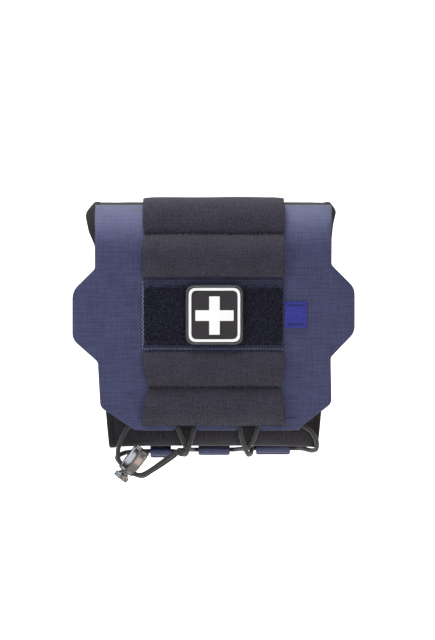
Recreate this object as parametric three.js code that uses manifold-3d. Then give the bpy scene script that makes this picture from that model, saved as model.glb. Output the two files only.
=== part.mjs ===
import * as THREE from "three";
import { mergeVertices } from "three/addons/utils/BufferGeometryUtils.js";
import Module from "manifold-3d";

// First-aid pouch. Millimetres, +Z up, +Y towards the wearer, the outer side faces -Y.
// The origin is the centre of the back panel's rear face.

const wasm = await Module();
wasm.setup();

const GAP = 0.3;

// Back panel
const BACK_HALF_WIDTH = 71;
const BACK_THICK = 2;
const BACK_TOP = 79;
const BACK_BOTTOM = -71.5;
const BACK_TABS = [
  { side: "left", low: -40.7, high: -27.4, bottom: -82, cordZ: -77.7 },
  { side: "centre", low: -9.8, high: 10.4, bottom: -80.4, cordZ: -76.7 },
  { side: "right", low: 27.2, high: 49.2, bottom: -80, cordZ: -75.8 },
];

// Front panel: flat below BEND_Z, then an arc that leans back over the roll
const FRONT_Y = -58;
const FRONT_THICK = 1.6;
const FRONT_TOP = 80.2;
const FRONT_BOTTOM = -63.2;
const FRONT_NOTCH = -59.8;
const FRONT_SIDE_RIGHT = [
  [52.5, FRONT_BOTTOM, 3],
  [74.6, -46.2, 3],
  [74.1, -17, 1.5],
  [89.3, -1.2, 4],
  [89.3, 26.8, 4],
  [74.6, 41.6, 1.5],
  [75.2, FRONT_TOP + 5, 1],
];
const FRONT_SIDE_LEFT = [
  [-75.3, FRONT_TOP + 5, 1],
  [-75, 39, 1.5],
  [-89.3, 24.9, 5],
  [-89.3, -5.7, 4],
  [-73.2, -19.9, 2],
  [-71.6, -48.6, 3],
  [-49.7, FRONT_BOTTOM, 3],
];
const BEND_Z = 45;
const BEND_RADIUS = 39;
const BEND_Y = FRONT_Y + BEND_RADIUS;
const FRONT_CORD_Z = -60;
const FRONT_TUNNELS = [
  { side: "left", low: -50.2, high: -26.2, cordZ: FRONT_CORD_Z },
  { side: "centre", low: -9.1, high: 13.6, cordZ: FRONT_CORD_Z },
  { side: "right", low: 30.6, high: 54.6, cordZ: FRONT_CORD_Z },
];

// Hem tunnels that the shock cord runs in
const TUNNEL_RADIUS = 3.1;
const TUNNEL_BORE = 2.7;
const FRONT_TUNNEL_Y = -53;
const BACK_TUNNEL_Y = -5.4;

// Elastic band and its stitch rows
const ELASTIC_HALF_WIDTH = 44.8;
const ELASTIC_WAIST_LEFT = -41.2;
const ELASTIC_WAIST_RIGHT = 43;
const ELASTIC_THICK = 1.8;
const ELASTIC_TOP_Z = 84.1;
const UPPER_ROW_ANGLE = 23.6;
const UPPER_END_Z = 32.9;
const LOWER_START_Z = -12.8;
const LOWER_ROW_Z = -36;
const LOWER_END_Z = -60.9;
const CHANNEL_BULGE = 5.5;
const TOP_CHANNEL_BULGE = 6.8;
const FOLD_Y = 1.2;
const FOLD_Z = 81.2;

// Loop field, folded side label and rubber patch
const LOOP_THICK = 1.3;
const LOOP_LOW_Z = -12.1;
const LOOP_HIGH_Z = 32.2;
const LOOP_HALF_WIDTH = 44.4;
const LABEL_THICK = 1;
const PATCH_X = 0.6;
const PATCH_Z = 9.8;
const PATCH_WIDTH = 36.3;
const PATCH_HEIGHT = 37.8;
const PATCH_CORNER = 6;
const PATCH_RING_INSET = 1.8;
const PATCH_RING_WIDTH = 1.8;
const CROSS_SPAN = 24.3;
const CROSS_ARM = 6.8;
const CROSS_DROP = 0.4;

// Roll
const ROLL_FRONT_Y = -55.2;
const ROLL_BACK_Y = -4.2;
const ROLL_TOP_Z = 82;
const ROLL_BOTTOM_Z = -73.2;
const ROLL_WALL = 2;
const ROLL_LINER_Y = -29.4;

// Shock cord, lock and end knot
const CORD_RADIUS = 1.5;
const CORD_STEPS = 116;
const LOCK_CENTRE = [-51.9, -56, -84.2];
const LOCK_TILT = 52;
const LOCK_DEPTH_SCALE = 1.15;
const LOCK_HALF_LENGTH = 12;
const BARREL_RADIUS = 5.6;
const BARREL_MOUTH = -6.6;
const BARREL_BORE = 4.2;
const BUTTON_RADIUS = 3.9;
const BUTTON_HEAD_RADIUS = 5;
const BUTTON_HEAD_THICK = 3;
const BUTTON_TRAVEL = 2;
const CORD_HOLE_OFFSET = -3.8;
const STRAND_SPREAD = 1.65;

// Attachment straps on the back
const STRAP_X = 30;
const STRAP_HALF_WIDTH = 12.5;
const STRAP_THICK = 1.6;
const STRAP_HINGE_Z = 44;
const STRAP_STANDOFF = 6.4;
const SNAP_Z = -46;

const COLOURS = {
  navy: { color: 0x2b2d47, roughness: 0.85, metalness: 0 },
  elastic: { color: 0x1d1b22, roughness: 0.95, metalness: 0 },
  loop: { color: 0x15151f, roughness: 1, metalness: 0 },
  black: { color: 0x161518, roughness: 0.9, metalness: 0 },
  pack: { color: 0xd8d6cd, roughness: 0.8, metalness: 0 },
  rubber: { color: 0x2c2a30, roughness: 0.6, metalness: 0 },
  white: { color: 0xf2f2ef, roughness: 0.6, metalness: 0 },
  label: { color: 0x2a2ca8, roughness: 0.7, metalness: 0 },
  plastic: { color: 0x0b0b0d, roughness: 0.25, metalness: 0 },
  steel: { color: 0x8d9096, roughness: 0.35, metalness: 0.9 },
  cord: { color: 0x121214, roughness: 0.8, metalness: 0 },
};

function radians(degrees) {
  return (degrees * Math.PI) / 180;
}

function addMesh(parent, name, geometry, look) {
  const mesh = new THREE.Mesh(geometry, new THREE.MeshStandardMaterial(COLOURS[look]));
  mesh.name = name;
  parent.add(mesh);
  return mesh;
}

function toSolid(geometry) {
  const bare = geometry.clone();
  bare.deleteAttribute("normal");
  bare.deleteAttribute("uv");
  const merged = mergeVertices(bare, 1e-4);
  const mesh = new wasm.Mesh({
    numProp: 3,
    vertProperties: new Float32Array(merged.attributes.position.array),
    triVerts: new Uint32Array(merged.index.array),
  });
  return new wasm.Manifold(mesh);
}

function toGeometry(solid) {
  const mesh = solid.getMesh();
  const geometry = new THREE.BufferGeometry();
  geometry.setAttribute("position", new THREE.BufferAttribute(mesh.vertProperties, 3));
  geometry.setIndex(new THREE.BufferAttribute(mesh.triVerts, 1));
  geometry.computeVertexNormals();
  return geometry;
}

function polygon(points) {
  return new THREE.Shape(points.map(([u, v]) => new THREE.Vector2(u, v)));
}

// Outline from [x, z, corner radius] entries, corners rounded with short curves.
function roundedOutline(corners) {
  const shape = new THREE.Shape();
  corners.forEach(([x, z, radius], index) => {
    const before = corners[(index + corners.length - 1) % corners.length];
    const after = corners[(index + 1) % corners.length];
    const here = new THREE.Vector2(x, z);
    const back = new THREE.Vector2(before[0], before[1]).sub(here).setLength(radius);
    const ahead = new THREE.Vector2(after[0], after[1]).sub(here).setLength(radius);
    const start = here.clone().add(back);
    const end = here.clone().add(ahead);
    if (index === 0) {
      shape.moveTo(start.x, start.y);
    } else {
      shape.lineTo(start.x, start.y);
    }
    shape.quadraticCurveTo(x, z, end.x, end.y);
  });
  shape.closePath();
  return shape;
}

function roundedBox(x0, z0, x1, z1, radius) {
  return roundedOutline([
    [x0, z0, radius],
    [x1, z0, radius],
    [x1, z1, radius],
    [x0, z1, radius],
  ]);
}

// Prism of an X-Z outline between two Y levels.
function prismAlongY(shape, low, high, curveSegments = 5) {
  const options = { depth: high - low, bevelEnabled: false, curveSegments };
  const geometry = new THREE.ExtrudeGeometry(shape, options);
  geometry.rotateX(Math.PI / 2);
  geometry.translate(0, high, 0);
  return geometry;
}

// Prism of a Y-Z outline between two X levels.
function prismAlongX(shape, low, high) {
  const options = { depth: high - low, bevelEnabled: false, curveSegments: 5 };
  const geometry = new THREE.ExtrudeGeometry(shape, options);
  const turn = new THREE.Matrix4().makeBasis(
    new THREE.Vector3(0, 1, 0),
    new THREE.Vector3(0, 0, 1),
    new THREE.Vector3(1, 0, 0),
  );
  geometry.applyMatrix4(turn);
  geometry.translate(low, 0, 0);
  return geometry;
}

// Closed outline of a sheet that follows a centreline in the Y-Z plane.
function sheetOutline(line, thickness) {
  const left = [];
  const right = [];
  line.forEach(([y, z], index) => {
    const before = line[Math.max(index - 1, 0)];
    const after = line[Math.min(index + 1, line.length - 1)];
    const run = new THREE.Vector2(after[0] - before[0], after[1] - before[1]).normalize();
    left.push([y - (run.y * thickness) / 2, z + (run.x * thickness) / 2]);
    right.push([y + (run.y * thickness) / 2, z - (run.x * thickness) / 2]);
  });
  return polygon([...left, ...right.reverse()]);
}

function backOutline() {
  const low = BACK_BOTTOM;
  const corners = [
    [-BACK_HALF_WIDTH, BACK_TOP, 5],
    [-BACK_HALF_WIDTH, -44, 8],
    [-56, low, 4],
  ];
  for (const tab of BACK_TABS) {
    corners.push([tab.low, low, 1]);
    corners.push([tab.low, tab.bottom, 1.5]);
    corners.push([tab.high, tab.bottom, 1.5]);
    corners.push([tab.high, low, 1]);
  }
  corners.push([56, low, 4]);
  corners.push([BACK_HALF_WIDTH, -44, 8]);
  corners.push([BACK_HALF_WIDTH, BACK_TOP, 5]);
  return roundedOutline(corners);
}

// Short hem tube along X, centred on its own origin.
function tunnelGeometry(length) {
  const ring = new THREE.Shape();
  ring.absarc(0, 0, TUNNEL_RADIUS, 0, Math.PI * 2, false);
  const bore = new THREE.Path();
  bore.absarc(0, 0, TUNNEL_BORE, 0, Math.PI * 2, true);
  ring.holes.push(bore);
  return prismAlongX(ring, -length / 2, length / 2);
}

function addTunnels(parent, prefix, tunnels, y) {
  for (const tunnel of tunnels) {
    const length = tunnel.high - tunnel.low;
    const mesh = addMesh(parent, `${prefix}_${tunnel.side}`, tunnelGeometry(length), "navy");
    mesh.position.set((tunnel.low + tunnel.high) / 2, y, tunnel.cordZ);
  }
}

// Panel cut from a plate of small facets, so that its middle has flat facets of its own.
function backPanel() {
  const plate = new THREE.BoxGeometry(176, BACK_THICK, 198, 8, 1, 9);
  plate.translate(4, -BACK_THICK / 2, 3);
  const window = toSolid(prismAlongY(backOutline(), -10, 10));
  return toGeometry(toSolid(plate).intersect(window));
}

function elasticTail() {
  const line = [
    [FOLD_Y, FOLD_Z - 1],
    [FOLD_Y, 70],
    [FOLD_Y, 52],
  ];
  const shape = sheetOutline(line, ELASTIC_THICK);
  return prismAlongX(shape, -ELASTIC_HALF_WIDTH, ELASTIC_HALF_WIDTH);
}

// Male half of a snap: base disc and post, axis along Y.
function snapStud() {
  const profile = [
    [0, 0],
    [5.2, 0],
    [5.2, 0.8],
    [2.2, 1.1],
    [2.2, 2.5],
    [0, 2.5],
  ].map(([r, h]) => new THREE.Vector2(r, h));
  return new THREE.LatheGeometry(profile, 20);
}

// Female half of a snap with its outer cap; the stem passes through the strap.
function snapSocket() {
  const profile = [
    [0, 2],
    [2.6, 2],
    [2.6, 0],
    [5.4, 0],
    [5.4, 1.5],
    [4.6, 2.9],
    [1.8, 2.9],
    [1.8, 5.3],
    [6, 5.3],
    [5.6, 6.2],
    [3.4, 6.8],
    [0, 6.9],
  ].map(([r, h]) => new THREE.Vector2(r, h));
  return new THREE.LatheGeometry(profile, 20);
}

function strapAnchor() {
  const shape = roundedBox(-STRAP_HALF_WIDTH, STRAP_HINGE_Z + 2.5, STRAP_HALF_WIDTH, 51.4, 0.8);
  return prismAlongY(shape, GAP, GAP + STRAP_THICK);
}

function strapGeometry() {
  const line = [
    [1.6, STRAP_HINGE_Z - 1.8],
    [2.2, STRAP_HINGE_Z - 4],
    [4.2, STRAP_HINGE_Z - 7.5],
    [5.9, STRAP_HINGE_Z - 11],
    [STRAP_STANDOFF, STRAP_HINGE_Z - 15],
    [STRAP_STANDOFF, 0],
    [STRAP_STANDOFF, SNAP_Z + 16],
    [5.9, SNAP_Z + 12],
    [5.6, SNAP_Z + 8],
    [5.6, SNAP_Z - 9],
  ];
  const width = STRAP_HALF_WIDTH;
  const band = toSolid(prismAlongX(sheetOutline(line, STRAP_THICK), -width, width));
  const hole = new THREE.CylinderGeometry(2.2, 2.2, 8, 20);
  hole.translate(0, 5.6, SNAP_Z);
  return toGeometry(band.subtract(toSolid(hole)));
}

function addCarrier(root) {
  const carrier = new THREE.Group();
  carrier.name = "carrier";
  root.add(carrier);
  addMesh(carrier, "back_panel", backPanel(), "navy");
  addTunnels(carrier, "back_tunnel", BACK_TABS, BACK_TUNNEL_Y);
  addMesh(carrier, "elastic_tail", elasticTail(), "elastic");
  for (const [side, sign] of [["left", -1], ["right", 1]]) {
    const stud = addMesh(carrier, `snap_stud_${side}`, snapStud(), "steel");
    stud.position.set(sign * STRAP_X, GAP, SNAP_Z);
    const anchor = addMesh(carrier, `strap_anchor_${side}`, strapAnchor(), "black");
    anchor.position.x = sign * STRAP_X;
  }
}

function addStraps(root) {
  for (const [side, sign] of [["left", -1], ["right", 1]]) {
    const strap = new THREE.Group();
    strap.name = `strap_body_${side}`;
    strap.position.x = sign * STRAP_X;
    root.add(strap);
    addMesh(strap, `strap_${side}`, strapGeometry(), "black");
    const socket = addMesh(strap, `snap_socket_${side}`, snapSocket(), "steel");
    socket.position.set(0, 1.6, SNAP_Z);
  }
}

// Bottom edge from left to right, with a notch between neighbouring hem tunnels.
function frontBottomEdge() {
  const edge = [];
  FRONT_TUNNELS.slice(1).forEach((tunnel, index) => {
    const before = FRONT_TUNNELS[index];
    edge.push([before.high + 0.6, FRONT_BOTTOM, 0.8]);
    edge.push([before.high + 3.4, FRONT_NOTCH, 0.8]);
    edge.push([tunnel.low - 3.4, FRONT_NOTCH, 0.8]);
    edge.push([tunnel.low - 0.6, FRONT_BOTTOM, 0.8]);
  });
  return edge;
}

function frontOutline() {
  return roundedOutline([...FRONT_SIDE_RIGHT, ...FRONT_SIDE_LEFT, ...frontBottomEdge()]);
}

function frontLine(inset) {
  const radius = BEND_RADIUS - inset;
  const line = [[FRONT_Y + inset, FRONT_BOTTOM - 4], [FRONT_Y + inset, BEND_Z]];
  const topAngle = Math.asin((FRONT_TOP - BEND_Z) / BEND_RADIUS);
  for (let step = 1; step <= 9; step += 1) {
    const angle = (topAngle * step) / 9;
    line.push([BEND_Y - radius * Math.cos(angle), BEND_Z + radius * Math.sin(angle)]);
  }
  return line;
}

function frontPanel() {
  const outer = frontLine(0);
  const inner = frontLine(FRONT_THICK).reverse();
  const sheet = toSolid(prismAlongX(polygon([...outer, ...inner]), -100, 100));
  const window = toSolid(prismAlongY(frontOutline(), -80, 10));
  return toGeometry(sheet.intersect(window));
}

// Height of a channel's crown at the fraction u of its span.
function bulge(u, height) {
  return height * Math.sin(Math.PI * u) ** 0.85;
}

function elasticUpper() {
  const rest = BEND_RADIUS + GAP + ELASTIC_THICK / 2;
  const line = [
    [FOLD_Y - 2, FOLD_Z + 0.4],
    [-4.5, 83.2],
    [-10, 83.9],
    [-15, ELASTIC_TOP_Z],
    [-24, ELASTIC_TOP_Z],
  ];
  const startAngle = 70;
  for (let step = 0; step <= 12; step += 1) {
    const u = step / 12;
    const angle = radians(startAngle + (UPPER_ROW_ANGLE - startAngle) * u);
    const radius = rest + bulge(u, TOP_CHANNEL_BULGE);
    line.push([BEND_Y - radius * Math.cos(angle), BEND_Z + radius * Math.sin(angle)]);
  }
  const rowZ = BEND_Z + rest * Math.sin(radians(UPPER_ROW_ANGLE));
  for (let step = 1; step <= 10; step += 1) {
    const u = step / 10;
    const z = rowZ + (UPPER_END_Z - rowZ) * u;
    const over = Math.max(z - BEND_Z, 0);
    const baseY = BEND_Y - Math.sqrt(rest * rest - over * over);
    line.push([baseY - bulge(u, CHANNEL_BULGE), z]);
  }
  const shape = sheetOutline(line, ELASTIC_THICK);
  return prismAlongX(shape, -ELASTIC_HALF_WIDTH, ELASTIC_HALF_WIDTH);
}

function elasticLower() {
  const baseY = FRONT_Y - GAP - ELASTIC_THICK / 2;
  const line = [[baseY, LOWER_START_Z]];
  const spans = [
    [LOWER_START_Z, LOWER_ROW_Z],
    [LOWER_ROW_Z, LOWER_END_Z],
  ];
  for (const [high, low] of spans) {
    for (let step = 1; step <= 10; step += 1) {
      const u = step / 10;
      line.push([baseY - bulge(u, CHANNEL_BULGE), high + (low - high) * u]);
    }
  }
  const band = toSolid(prismAlongX(sheetOutline(line, ELASTIC_THICK), -60, 60));
  const wide = ELASTIC_HALF_WIDTH;
  const window = roundedOutline([
    [-wide, LOWER_START_Z + 2, 0.5],
    [ELASTIC_WAIST_LEFT, LOWER_ROW_Z, 8],
    [-wide, LOWER_END_Z - 2, 0.5],
    [wide, LOWER_END_Z - 2, 0.5],
    [ELASTIC_WAIST_RIGHT, LOWER_ROW_Z, 8],
    [wide, LOWER_START_Z + 2, 0.5],
  ]);
  return toGeometry(band.intersect(toSolid(prismAlongY(window, -80, -50))));
}

function sideLabel() {
  const shape = roundedBox(LOOP_HALF_WIDTH + GAP, 1.6, 59.1, 18.1, 0.6);
  return prismAlongY(shape, FRONT_Y - GAP - LABEL_THICK, FRONT_Y - GAP);
}

function addFrontCover(root) {
  const cover = new THREE.Group();
  cover.name = "front_cover";
  root.add(cover);
  addMesh(cover, "front_panel", frontPanel(), "navy");
  addMesh(cover, "elastic_upper", elasticUpper(), "elastic");
  addMesh(cover, "elastic_lower", elasticLower(), "elastic");
  const field = roundedBox(-LOOP_HALF_WIDTH, LOOP_LOW_Z, LOOP_HALF_WIDTH, LOOP_HIGH_Z, 0.8);
  const faceY = FRONT_Y - GAP;
  addMesh(cover, "loop_field", prismAlongY(field, faceY - LOOP_THICK, faceY), "loop");
  addMesh(cover, "side_label", sideLabel(), "label");
  addTunnels(cover, "front_tunnel", FRONT_TUNNELS, FRONT_TUNNEL_Y);
  return cover;
}

function centredRoundedBox(width, height, radius) {
  return roundedBox(-width / 2, -height / 2, width / 2, height / 2, radius);
}

function patchBase() {
  const depth = 2.2;
  const bevel = 0.6;
  const inner = centredRoundedBox(PATCH_WIDTH - 2 * bevel, PATCH_HEIGHT - 2 * bevel, PATCH_CORNER);
  const geometry = new THREE.ExtrudeGeometry(inner, {
    depth: depth - 2 * bevel,
    bevelEnabled: true,
    bevelThickness: bevel,
    bevelSize: bevel,
    bevelSegments: 2,
    curveSegments: 5,
  });
  geometry.rotateX(Math.PI / 2);
  geometry.translate(0, -bevel, 0);
  return geometry;
}

function patchBorder() {
  const width = PATCH_WIDTH - 2 * PATCH_RING_INSET;
  const height = PATCH_HEIGHT - 2 * PATCH_RING_INSET;
  const ring = centredRoundedBox(width, height, PATCH_CORNER - 1);
  const trim = 2 * PATCH_RING_WIDTH;
  ring.holes.push(centredRoundedBox(width - trim, height - trim, PATCH_CORNER - 2.6));
  return prismAlongY(ring, -0.8, 0);
}

function patchCross() {
  const far = CROSS_SPAN / 2;
  const near = CROSS_ARM / 2;
  const shape = polygon([
    [-near, -far],
    [near, -far],
    [near, -near],
    [far, -near],
    [far, near],
    [near, near],
    [near, far],
    [-near, far],
    [-near, near],
    [-far, near],
    [-far, -near],
    [-near, -near],
  ]);
  return prismAlongY(shape, -0.8, 0);
}

function addPatch(root) {
  const patch = new THREE.Group();
  patch.name = "patch";
  const loopFace = FRONT_Y - GAP - LOOP_THICK;
  patch.position.set(PATCH_X, loopFace - GAP, PATCH_Z);
  root.add(patch);
  const backing = centredRoundedBox(PATCH_WIDTH - 1.6, PATCH_HEIGHT - 1.6, PATCH_CORNER - 0.6);
  addMesh(patch, "patch_hook_backing", prismAlongY(backing, -1.2, 0), "black");
  const base = addMesh(patch, "patch_base", patchBase(), "rubber");
  base.position.y = -1.2 - GAP;
  const border = addMesh(patch, "patch_border", patchBorder(), "white");
  border.position.y = -3.4 - 2 * GAP;
  const cross = addMesh(patch, "patch_cross", patchCross(), "white");
  cross.position.set(0, -3.4 - 2 * GAP, -CROSS_DROP);
}

function arcPoints(centreY, centreZ, radius, from, to, steps) {
  const points = [];
  for (let step = 0; step <= steps; step += 1) {
    const angle = radians(from + ((to - from) * step) / steps);
    points.push([centreY + radius * Math.cos(angle), centreZ + radius * Math.sin(angle)]);
  }
  return points;
}

// Side view of the roll, drawn in by an inset from its outer surface.
function rollProfile(inset) {
  const frontRadius = BEND_Y - ROLL_FRONT_Y - inset;
  const bendZ = ROLL_TOP_Z + ROLL_FRONT_Y - BEND_Y;
  return polygon([
    ...arcPoints(BEND_Y, bendZ, frontRadius, 90, 180, 9),
    [ROLL_FRONT_Y + inset, -36],
    [-54 + inset, -44],
    [-51.2 + inset, -51],
    [-48.9 + inset, -57],
    ...arcPoints(-39, ROLL_BOTTOM_Z + 9.6, 9.6 - inset, 180, 270, 5),
    ...arcPoints(ROLL_BACK_Y - 6, ROLL_BOTTOM_Z + 6, 6 - inset, 270, 360, 4),
    ...arcPoints(ROLL_BACK_Y - 8, ROLL_TOP_Z - 8, 8 - inset, 0, 90, 4),
  ]);
}

function rollOutline() {
  return roundedOutline([
    [-65.4, ROLL_BOTTOM_Z - 1, 1],
    [65.4, ROLL_BOTTOM_Z - 1, 1],
    [68, -45, 5],
    [73, 50, 5],
    [75, 68, 2],
    [77.2, 76.6, 1.2],
    [73.4, ROLL_TOP_Z + 1, 1.5],
    [-74.6, ROLL_TOP_Z + 1, 1.5],
    [-79.5, 76.7, 0.8],
    [-80.6, 74.1, 0.8],
    [-78.2, 62.8, 1],
    [-75.6, 57, 1],
    [-73, 50, 3],
    [-68, -45, 5],
  ]);
}

function rollWrap() {
  const outer = toSolid(prismAlongX(rollProfile(0), -100, 100));
  const inner = toSolid(prismAlongX(rollProfile(ROLL_WALL), -110, 110));
  const slit = new THREE.BoxGeometry(220, 4, 1.5);
  slit.translate(0, ROLL_BACK_Y - 1, -30);
  const window = toSolid(prismAlongY(rollOutline(), -80, 10));
  return toGeometry(outer.subtract(inner).subtract(toSolid(slit)).intersect(window));
}

// Padded pack that fills part of the roll between two Y and two Z levels.
function rollPack(y0, y1, z0, z1, halfWidth) {
  const space = toSolid(prismAlongX(rollProfile(ROLL_WALL + 0.6), -halfWidth, halfWidth));
  const block = toSolid(prismAlongX(roundedBox(y0, z0, y1, z1, 5), -halfWidth, halfWidth));
  const plan = toSolid(prismAlongY(roundedBox(-halfWidth, z0, halfWidth, z1, 6), -80, 10));
  return toGeometry(space.intersect(block).intersect(plan));
}

function addRoll(root) {
  const roll = new THREE.Group();
  roll.name = "roll";
  root.add(roll);
  addMesh(roll, "roll_wrap", rollWrap(), "black");
  const liner = roundedBox(-64, -68, 64, 76, 5);
  const linerMesh = prismAlongY(liner, ROLL_LINER_Y - 0.7, ROLL_LINER_Y + 0.7);
  addMesh(roll, "roll_liner", linerMesh, "black");
  const front = ROLL_LINER_Y - 1.2;
  const back = ROLL_LINER_Y + 1.2;
  addMesh(roll, "roll_pack_upper", rollPack(-60, front, 6, 78, 63), "pack");
  addMesh(roll, "roll_pack_lower", rollPack(-60, front, -72, 4.5, 63), "pack");
  addMesh(roll, "roll_pack_rear", rollPack(back, 0, -66, 74, 63), "pack");
  for (const [side, sign] of [["left", -1], ["right", 1]]) {
    const tab = roundedBox(-11.7, -12.5, 11.7, 12.5, 3);
    const mesh = addMesh(roll, `pull_tab_${side}`, prismAlongY(tab, -1.6, 1.6), "black");
    mesh.position.set(sign * 76, ROLL_LINER_Y, 11.5);
  }
}

// Centreline of the shock cord: knot, lock, then laced front to back, and back to the knot.
function cordPoints() {
  const fy = FRONT_TUNNEL_Y;
  const fz = FRONT_CORD_Z;
  const by = BACK_TUNNEL_Y;
  const [leftZ, centreZ, rightZ] = BACK_TABS.map((tab) => tab.cordZ);
  const near = LOCK_CENTRE[1] - STRAND_SPREAD;
  const far = LOCK_CENTRE[1] + STRAND_SPREAD;
  const along = radians(LOCK_TILT);
  const holeX = LOCK_CENTRE[0] + CORD_HOLE_OFFSET * Math.cos(along);
  const holeZ = LOCK_CENTRE[2] + CORD_HOLE_OFFSET * Math.sin(along);
  const runX = 6.2 * Math.sin(along);
  const runZ = 6.2 * Math.cos(along);
  return [
    [-25, near + 0.6, -77.6],
    [-32.4, near + 0.3, -83.1],
    [-40, near, -88.4],
    [-45, near, -91.1],
    [holeX + runX, near, holeZ - runZ],
    [holeX, near, holeZ],
    [holeX - runX, near, holeZ + runZ],
    [-60.5, near + 0.6, -78.8],
    [-59.8, -56, -73],
    [-57, -54.2, -66.2],
    [-54.2, -53.4, -61.4],
    [-50.6, fy, fz],
    [-44, fy, fz],
    [-33, fy, fz],
    [-26, fy, fz],
    [-22.9, -53.1, -61.8],
    [-20.8, -51.7, -66.5],
    [-18.4, -48.4, -72.2],
    [-17, -41.6, -75.4],
    [-15.8, -28, -75.9],
    [-14.6, -15, -76.4],
    [-12.8, by - 1.6, centreZ],
    [-9.6, by, centreZ],
    [0, by, centreZ],
    [10.2, by, centreZ],
    [13.6, by - 1.4, centreZ + 0.1],
    [16.4, -14, -76.1],
    [18.6, -27, -75.6],
    [21, -41.6, -75.2],
    [23.8, -48.5, -72],
    [26.6, -51.8, -66.4],
    [28.2, -53.1, -61.6],
    [30.6, fy, fz],
    [42, fy, fz],
    [55.2, fy, fz],
    [58.6, -53.2, -61.4],
    [62.4, -52.6, -64.6],
    [65.2, -50.6, -70],
    [65.2, -46.4, -75],
    [62.6, -38, -76.4],
    [58.2, -24, -75.7],
    [56, -13, -75.7],
    [54, by - 2.4, rightZ],
    [50.4, by, rightZ],
    [38, by, rightZ],
    [26.6, by, rightZ],
    [24.5, by - 2.2, rightZ - 0.3],
    [24.2, -14, -77.6],
    [23.8, -25, -78.7],
    [22.8, -36, -79],
    [21.6, -44.8, -78.2],
    [19.4, -50.8, -73],
    [17.4, -52.8, -66.5],
    [16.6, -53.2, -62],
    [14.4, fy, fz],
    [2, fy, fz],
    [-9, fy, fz],
    [-11.8, -53.2, -61.8],
    [-13.3, -52.8, -66.5],
    [-15.4, -50.8, -73],
    [-17.4, -44.8, -78.2],
    [-19.6, -34, -78.9],
    [-22.4, -20, -78.6],
    [-23.8, by - 3.4, leftZ - 0.3],
    [-26.6, by, leftZ],
    [-34, by, leftZ],
    [-40.8, by, leftZ],
    [-44.2, by - 1.6, leftZ],
    [-47, -14, -77.8],
    [-50, -28, -77.6],
    [-53, -41, -77.2],
    [-57.6, -50.2, -78],
    [-61, -53.4, -80.2],
    [holeX - runX, far, holeZ + runZ],
    [holeX, far, holeZ],
    [holeX + runX, far, holeZ - runZ],
    [-44.8, far, -92],
    [-39.4, far, -89],
    [-31.2, far - 0.3, -83.8],
    [-24.1, far - 0.4, -78.7],
  ].map(([x, y, z]) => new THREE.Vector3(x, y, z));
}

function circleShape(radius, sides) {
  const points = [];
  for (let side = 0; side < sides; side += 1) {
    const angle = (side / sides) * Math.PI * 2;
    points.push([radius * Math.cos(angle), radius * Math.sin(angle)]);
  }
  return polygon(points);
}

function addCord(cover) {
  const path = new THREE.CatmullRomCurve3(cordPoints(), false, "centripetal");
  const options = { steps: CORD_STEPS, bevelEnabled: false, extrudePath: path };
  addMesh(cover, "shock_cord", new THREE.ExtrudeGeometry(circleShape(CORD_RADIUS, 8), options), "cord");
  const knot = new THREE.SphereGeometry(1, 14, 10);
  knot.scale(3.4, 3.6, 3.1);
  const mesh = addMesh(cover, "cord_end_knot", knot, "cord");
  mesh.position.set(-20.3, -55.8, -76.6);
}

// Barrel wall: open mouth at the low end, closed at the high end, axis along Y.
function barrelBody() {
  const top = LOCK_HALF_LENGTH;
  const profile = [
    [BARREL_BORE, BARREL_MOUTH],
    [BARREL_RADIUS - 0.9, BARREL_MOUTH],
    [BARREL_RADIUS, BARREL_MOUTH + 1],
    [BARREL_RADIUS, top - 1.6],
    [BARREL_RADIUS - 0.6, top - 0.5],
    [BARREL_RADIUS - 1.8, top],
    [0, top],
    [0, top - 2],
    [BARREL_BORE, top - 2],
    [BARREL_BORE, BARREL_MOUTH],
  ].map(([r, h]) => new THREE.Vector2(r, h));
  return new THREE.LatheGeometry(profile, 24);
}

function crossSlot(low, high, depth) {
  const slot = new THREE.BoxGeometry(30, high - low, depth);
  slot.translate(0, (low + high) / 2, 0);
  return toSolid(slot);
}

function lockBarrel() {
  const body = barrelBody();
  body.scale(1, 1, LOCK_DEPTH_SCALE);
  const half = CORD_RADIUS + 0.4;
  const slot = crossSlot(CORD_HOLE_OFFSET - half, CORD_HOLE_OFFSET + half, 7.4);
  return toGeometry(toSolid(body).subtract(slot));
}

function lockButton() {
  const low = -LOCK_HALF_LENGTH;
  const profile = [
    [0, low],
    [BUTTON_HEAD_RADIUS - 0.7, low],
    [BUTTON_HEAD_RADIUS, low + 0.7],
    [BUTTON_HEAD_RADIUS, low + BUTTON_HEAD_THICK - 0.3],
    [BUTTON_HEAD_RADIUS - 0.3, low + BUTTON_HEAD_THICK],
    [BUTTON_RADIUS - 0.3, low + BUTTON_HEAD_THICK],
    [BUTTON_RADIUS - 0.3, BARREL_MOUTH - 0.4],
    [BUTTON_RADIUS, BARREL_MOUTH + 0.2],
    [BUTTON_RADIUS, 3],
    [0, 3],
  ].map(([r, h]) => new THREE.Vector2(r, h));
  const body = new THREE.LatheGeometry(profile, 24);
  body.scale(1, 1, LOCK_DEPTH_SCALE);
  const high = CORD_HOLE_OFFSET + CORD_RADIUS + GAP;
  const slot = crossSlot(high - 2 * CORD_RADIUS - 2 * GAP - BUTTON_TRAVEL, high, 7);
  return toGeometry(toSolid(body).subtract(slot));
}

function lockSpring() {
  const low = 3.9;
  const high = LOCK_HALF_LENGTH - 2.6;
  const turns = 4;
  const points = [];
  for (let step = 0; step <= turns * 10; step += 1) {
    const angle = (step / 10) * Math.PI * 2;
    const height = low + ((high - low) * step) / (turns * 10);
    points.push(new THREE.Vector3(2.9 * Math.cos(angle), height, 2.9 * Math.sin(angle)));
  }
  const path = new THREE.CatmullRomCurve3(points);
  const options = { steps: turns * 10, bevelEnabled: false, extrudePath: path };
  return new THREE.ExtrudeGeometry(circleShape(0.4, 6), options);
}

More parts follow.
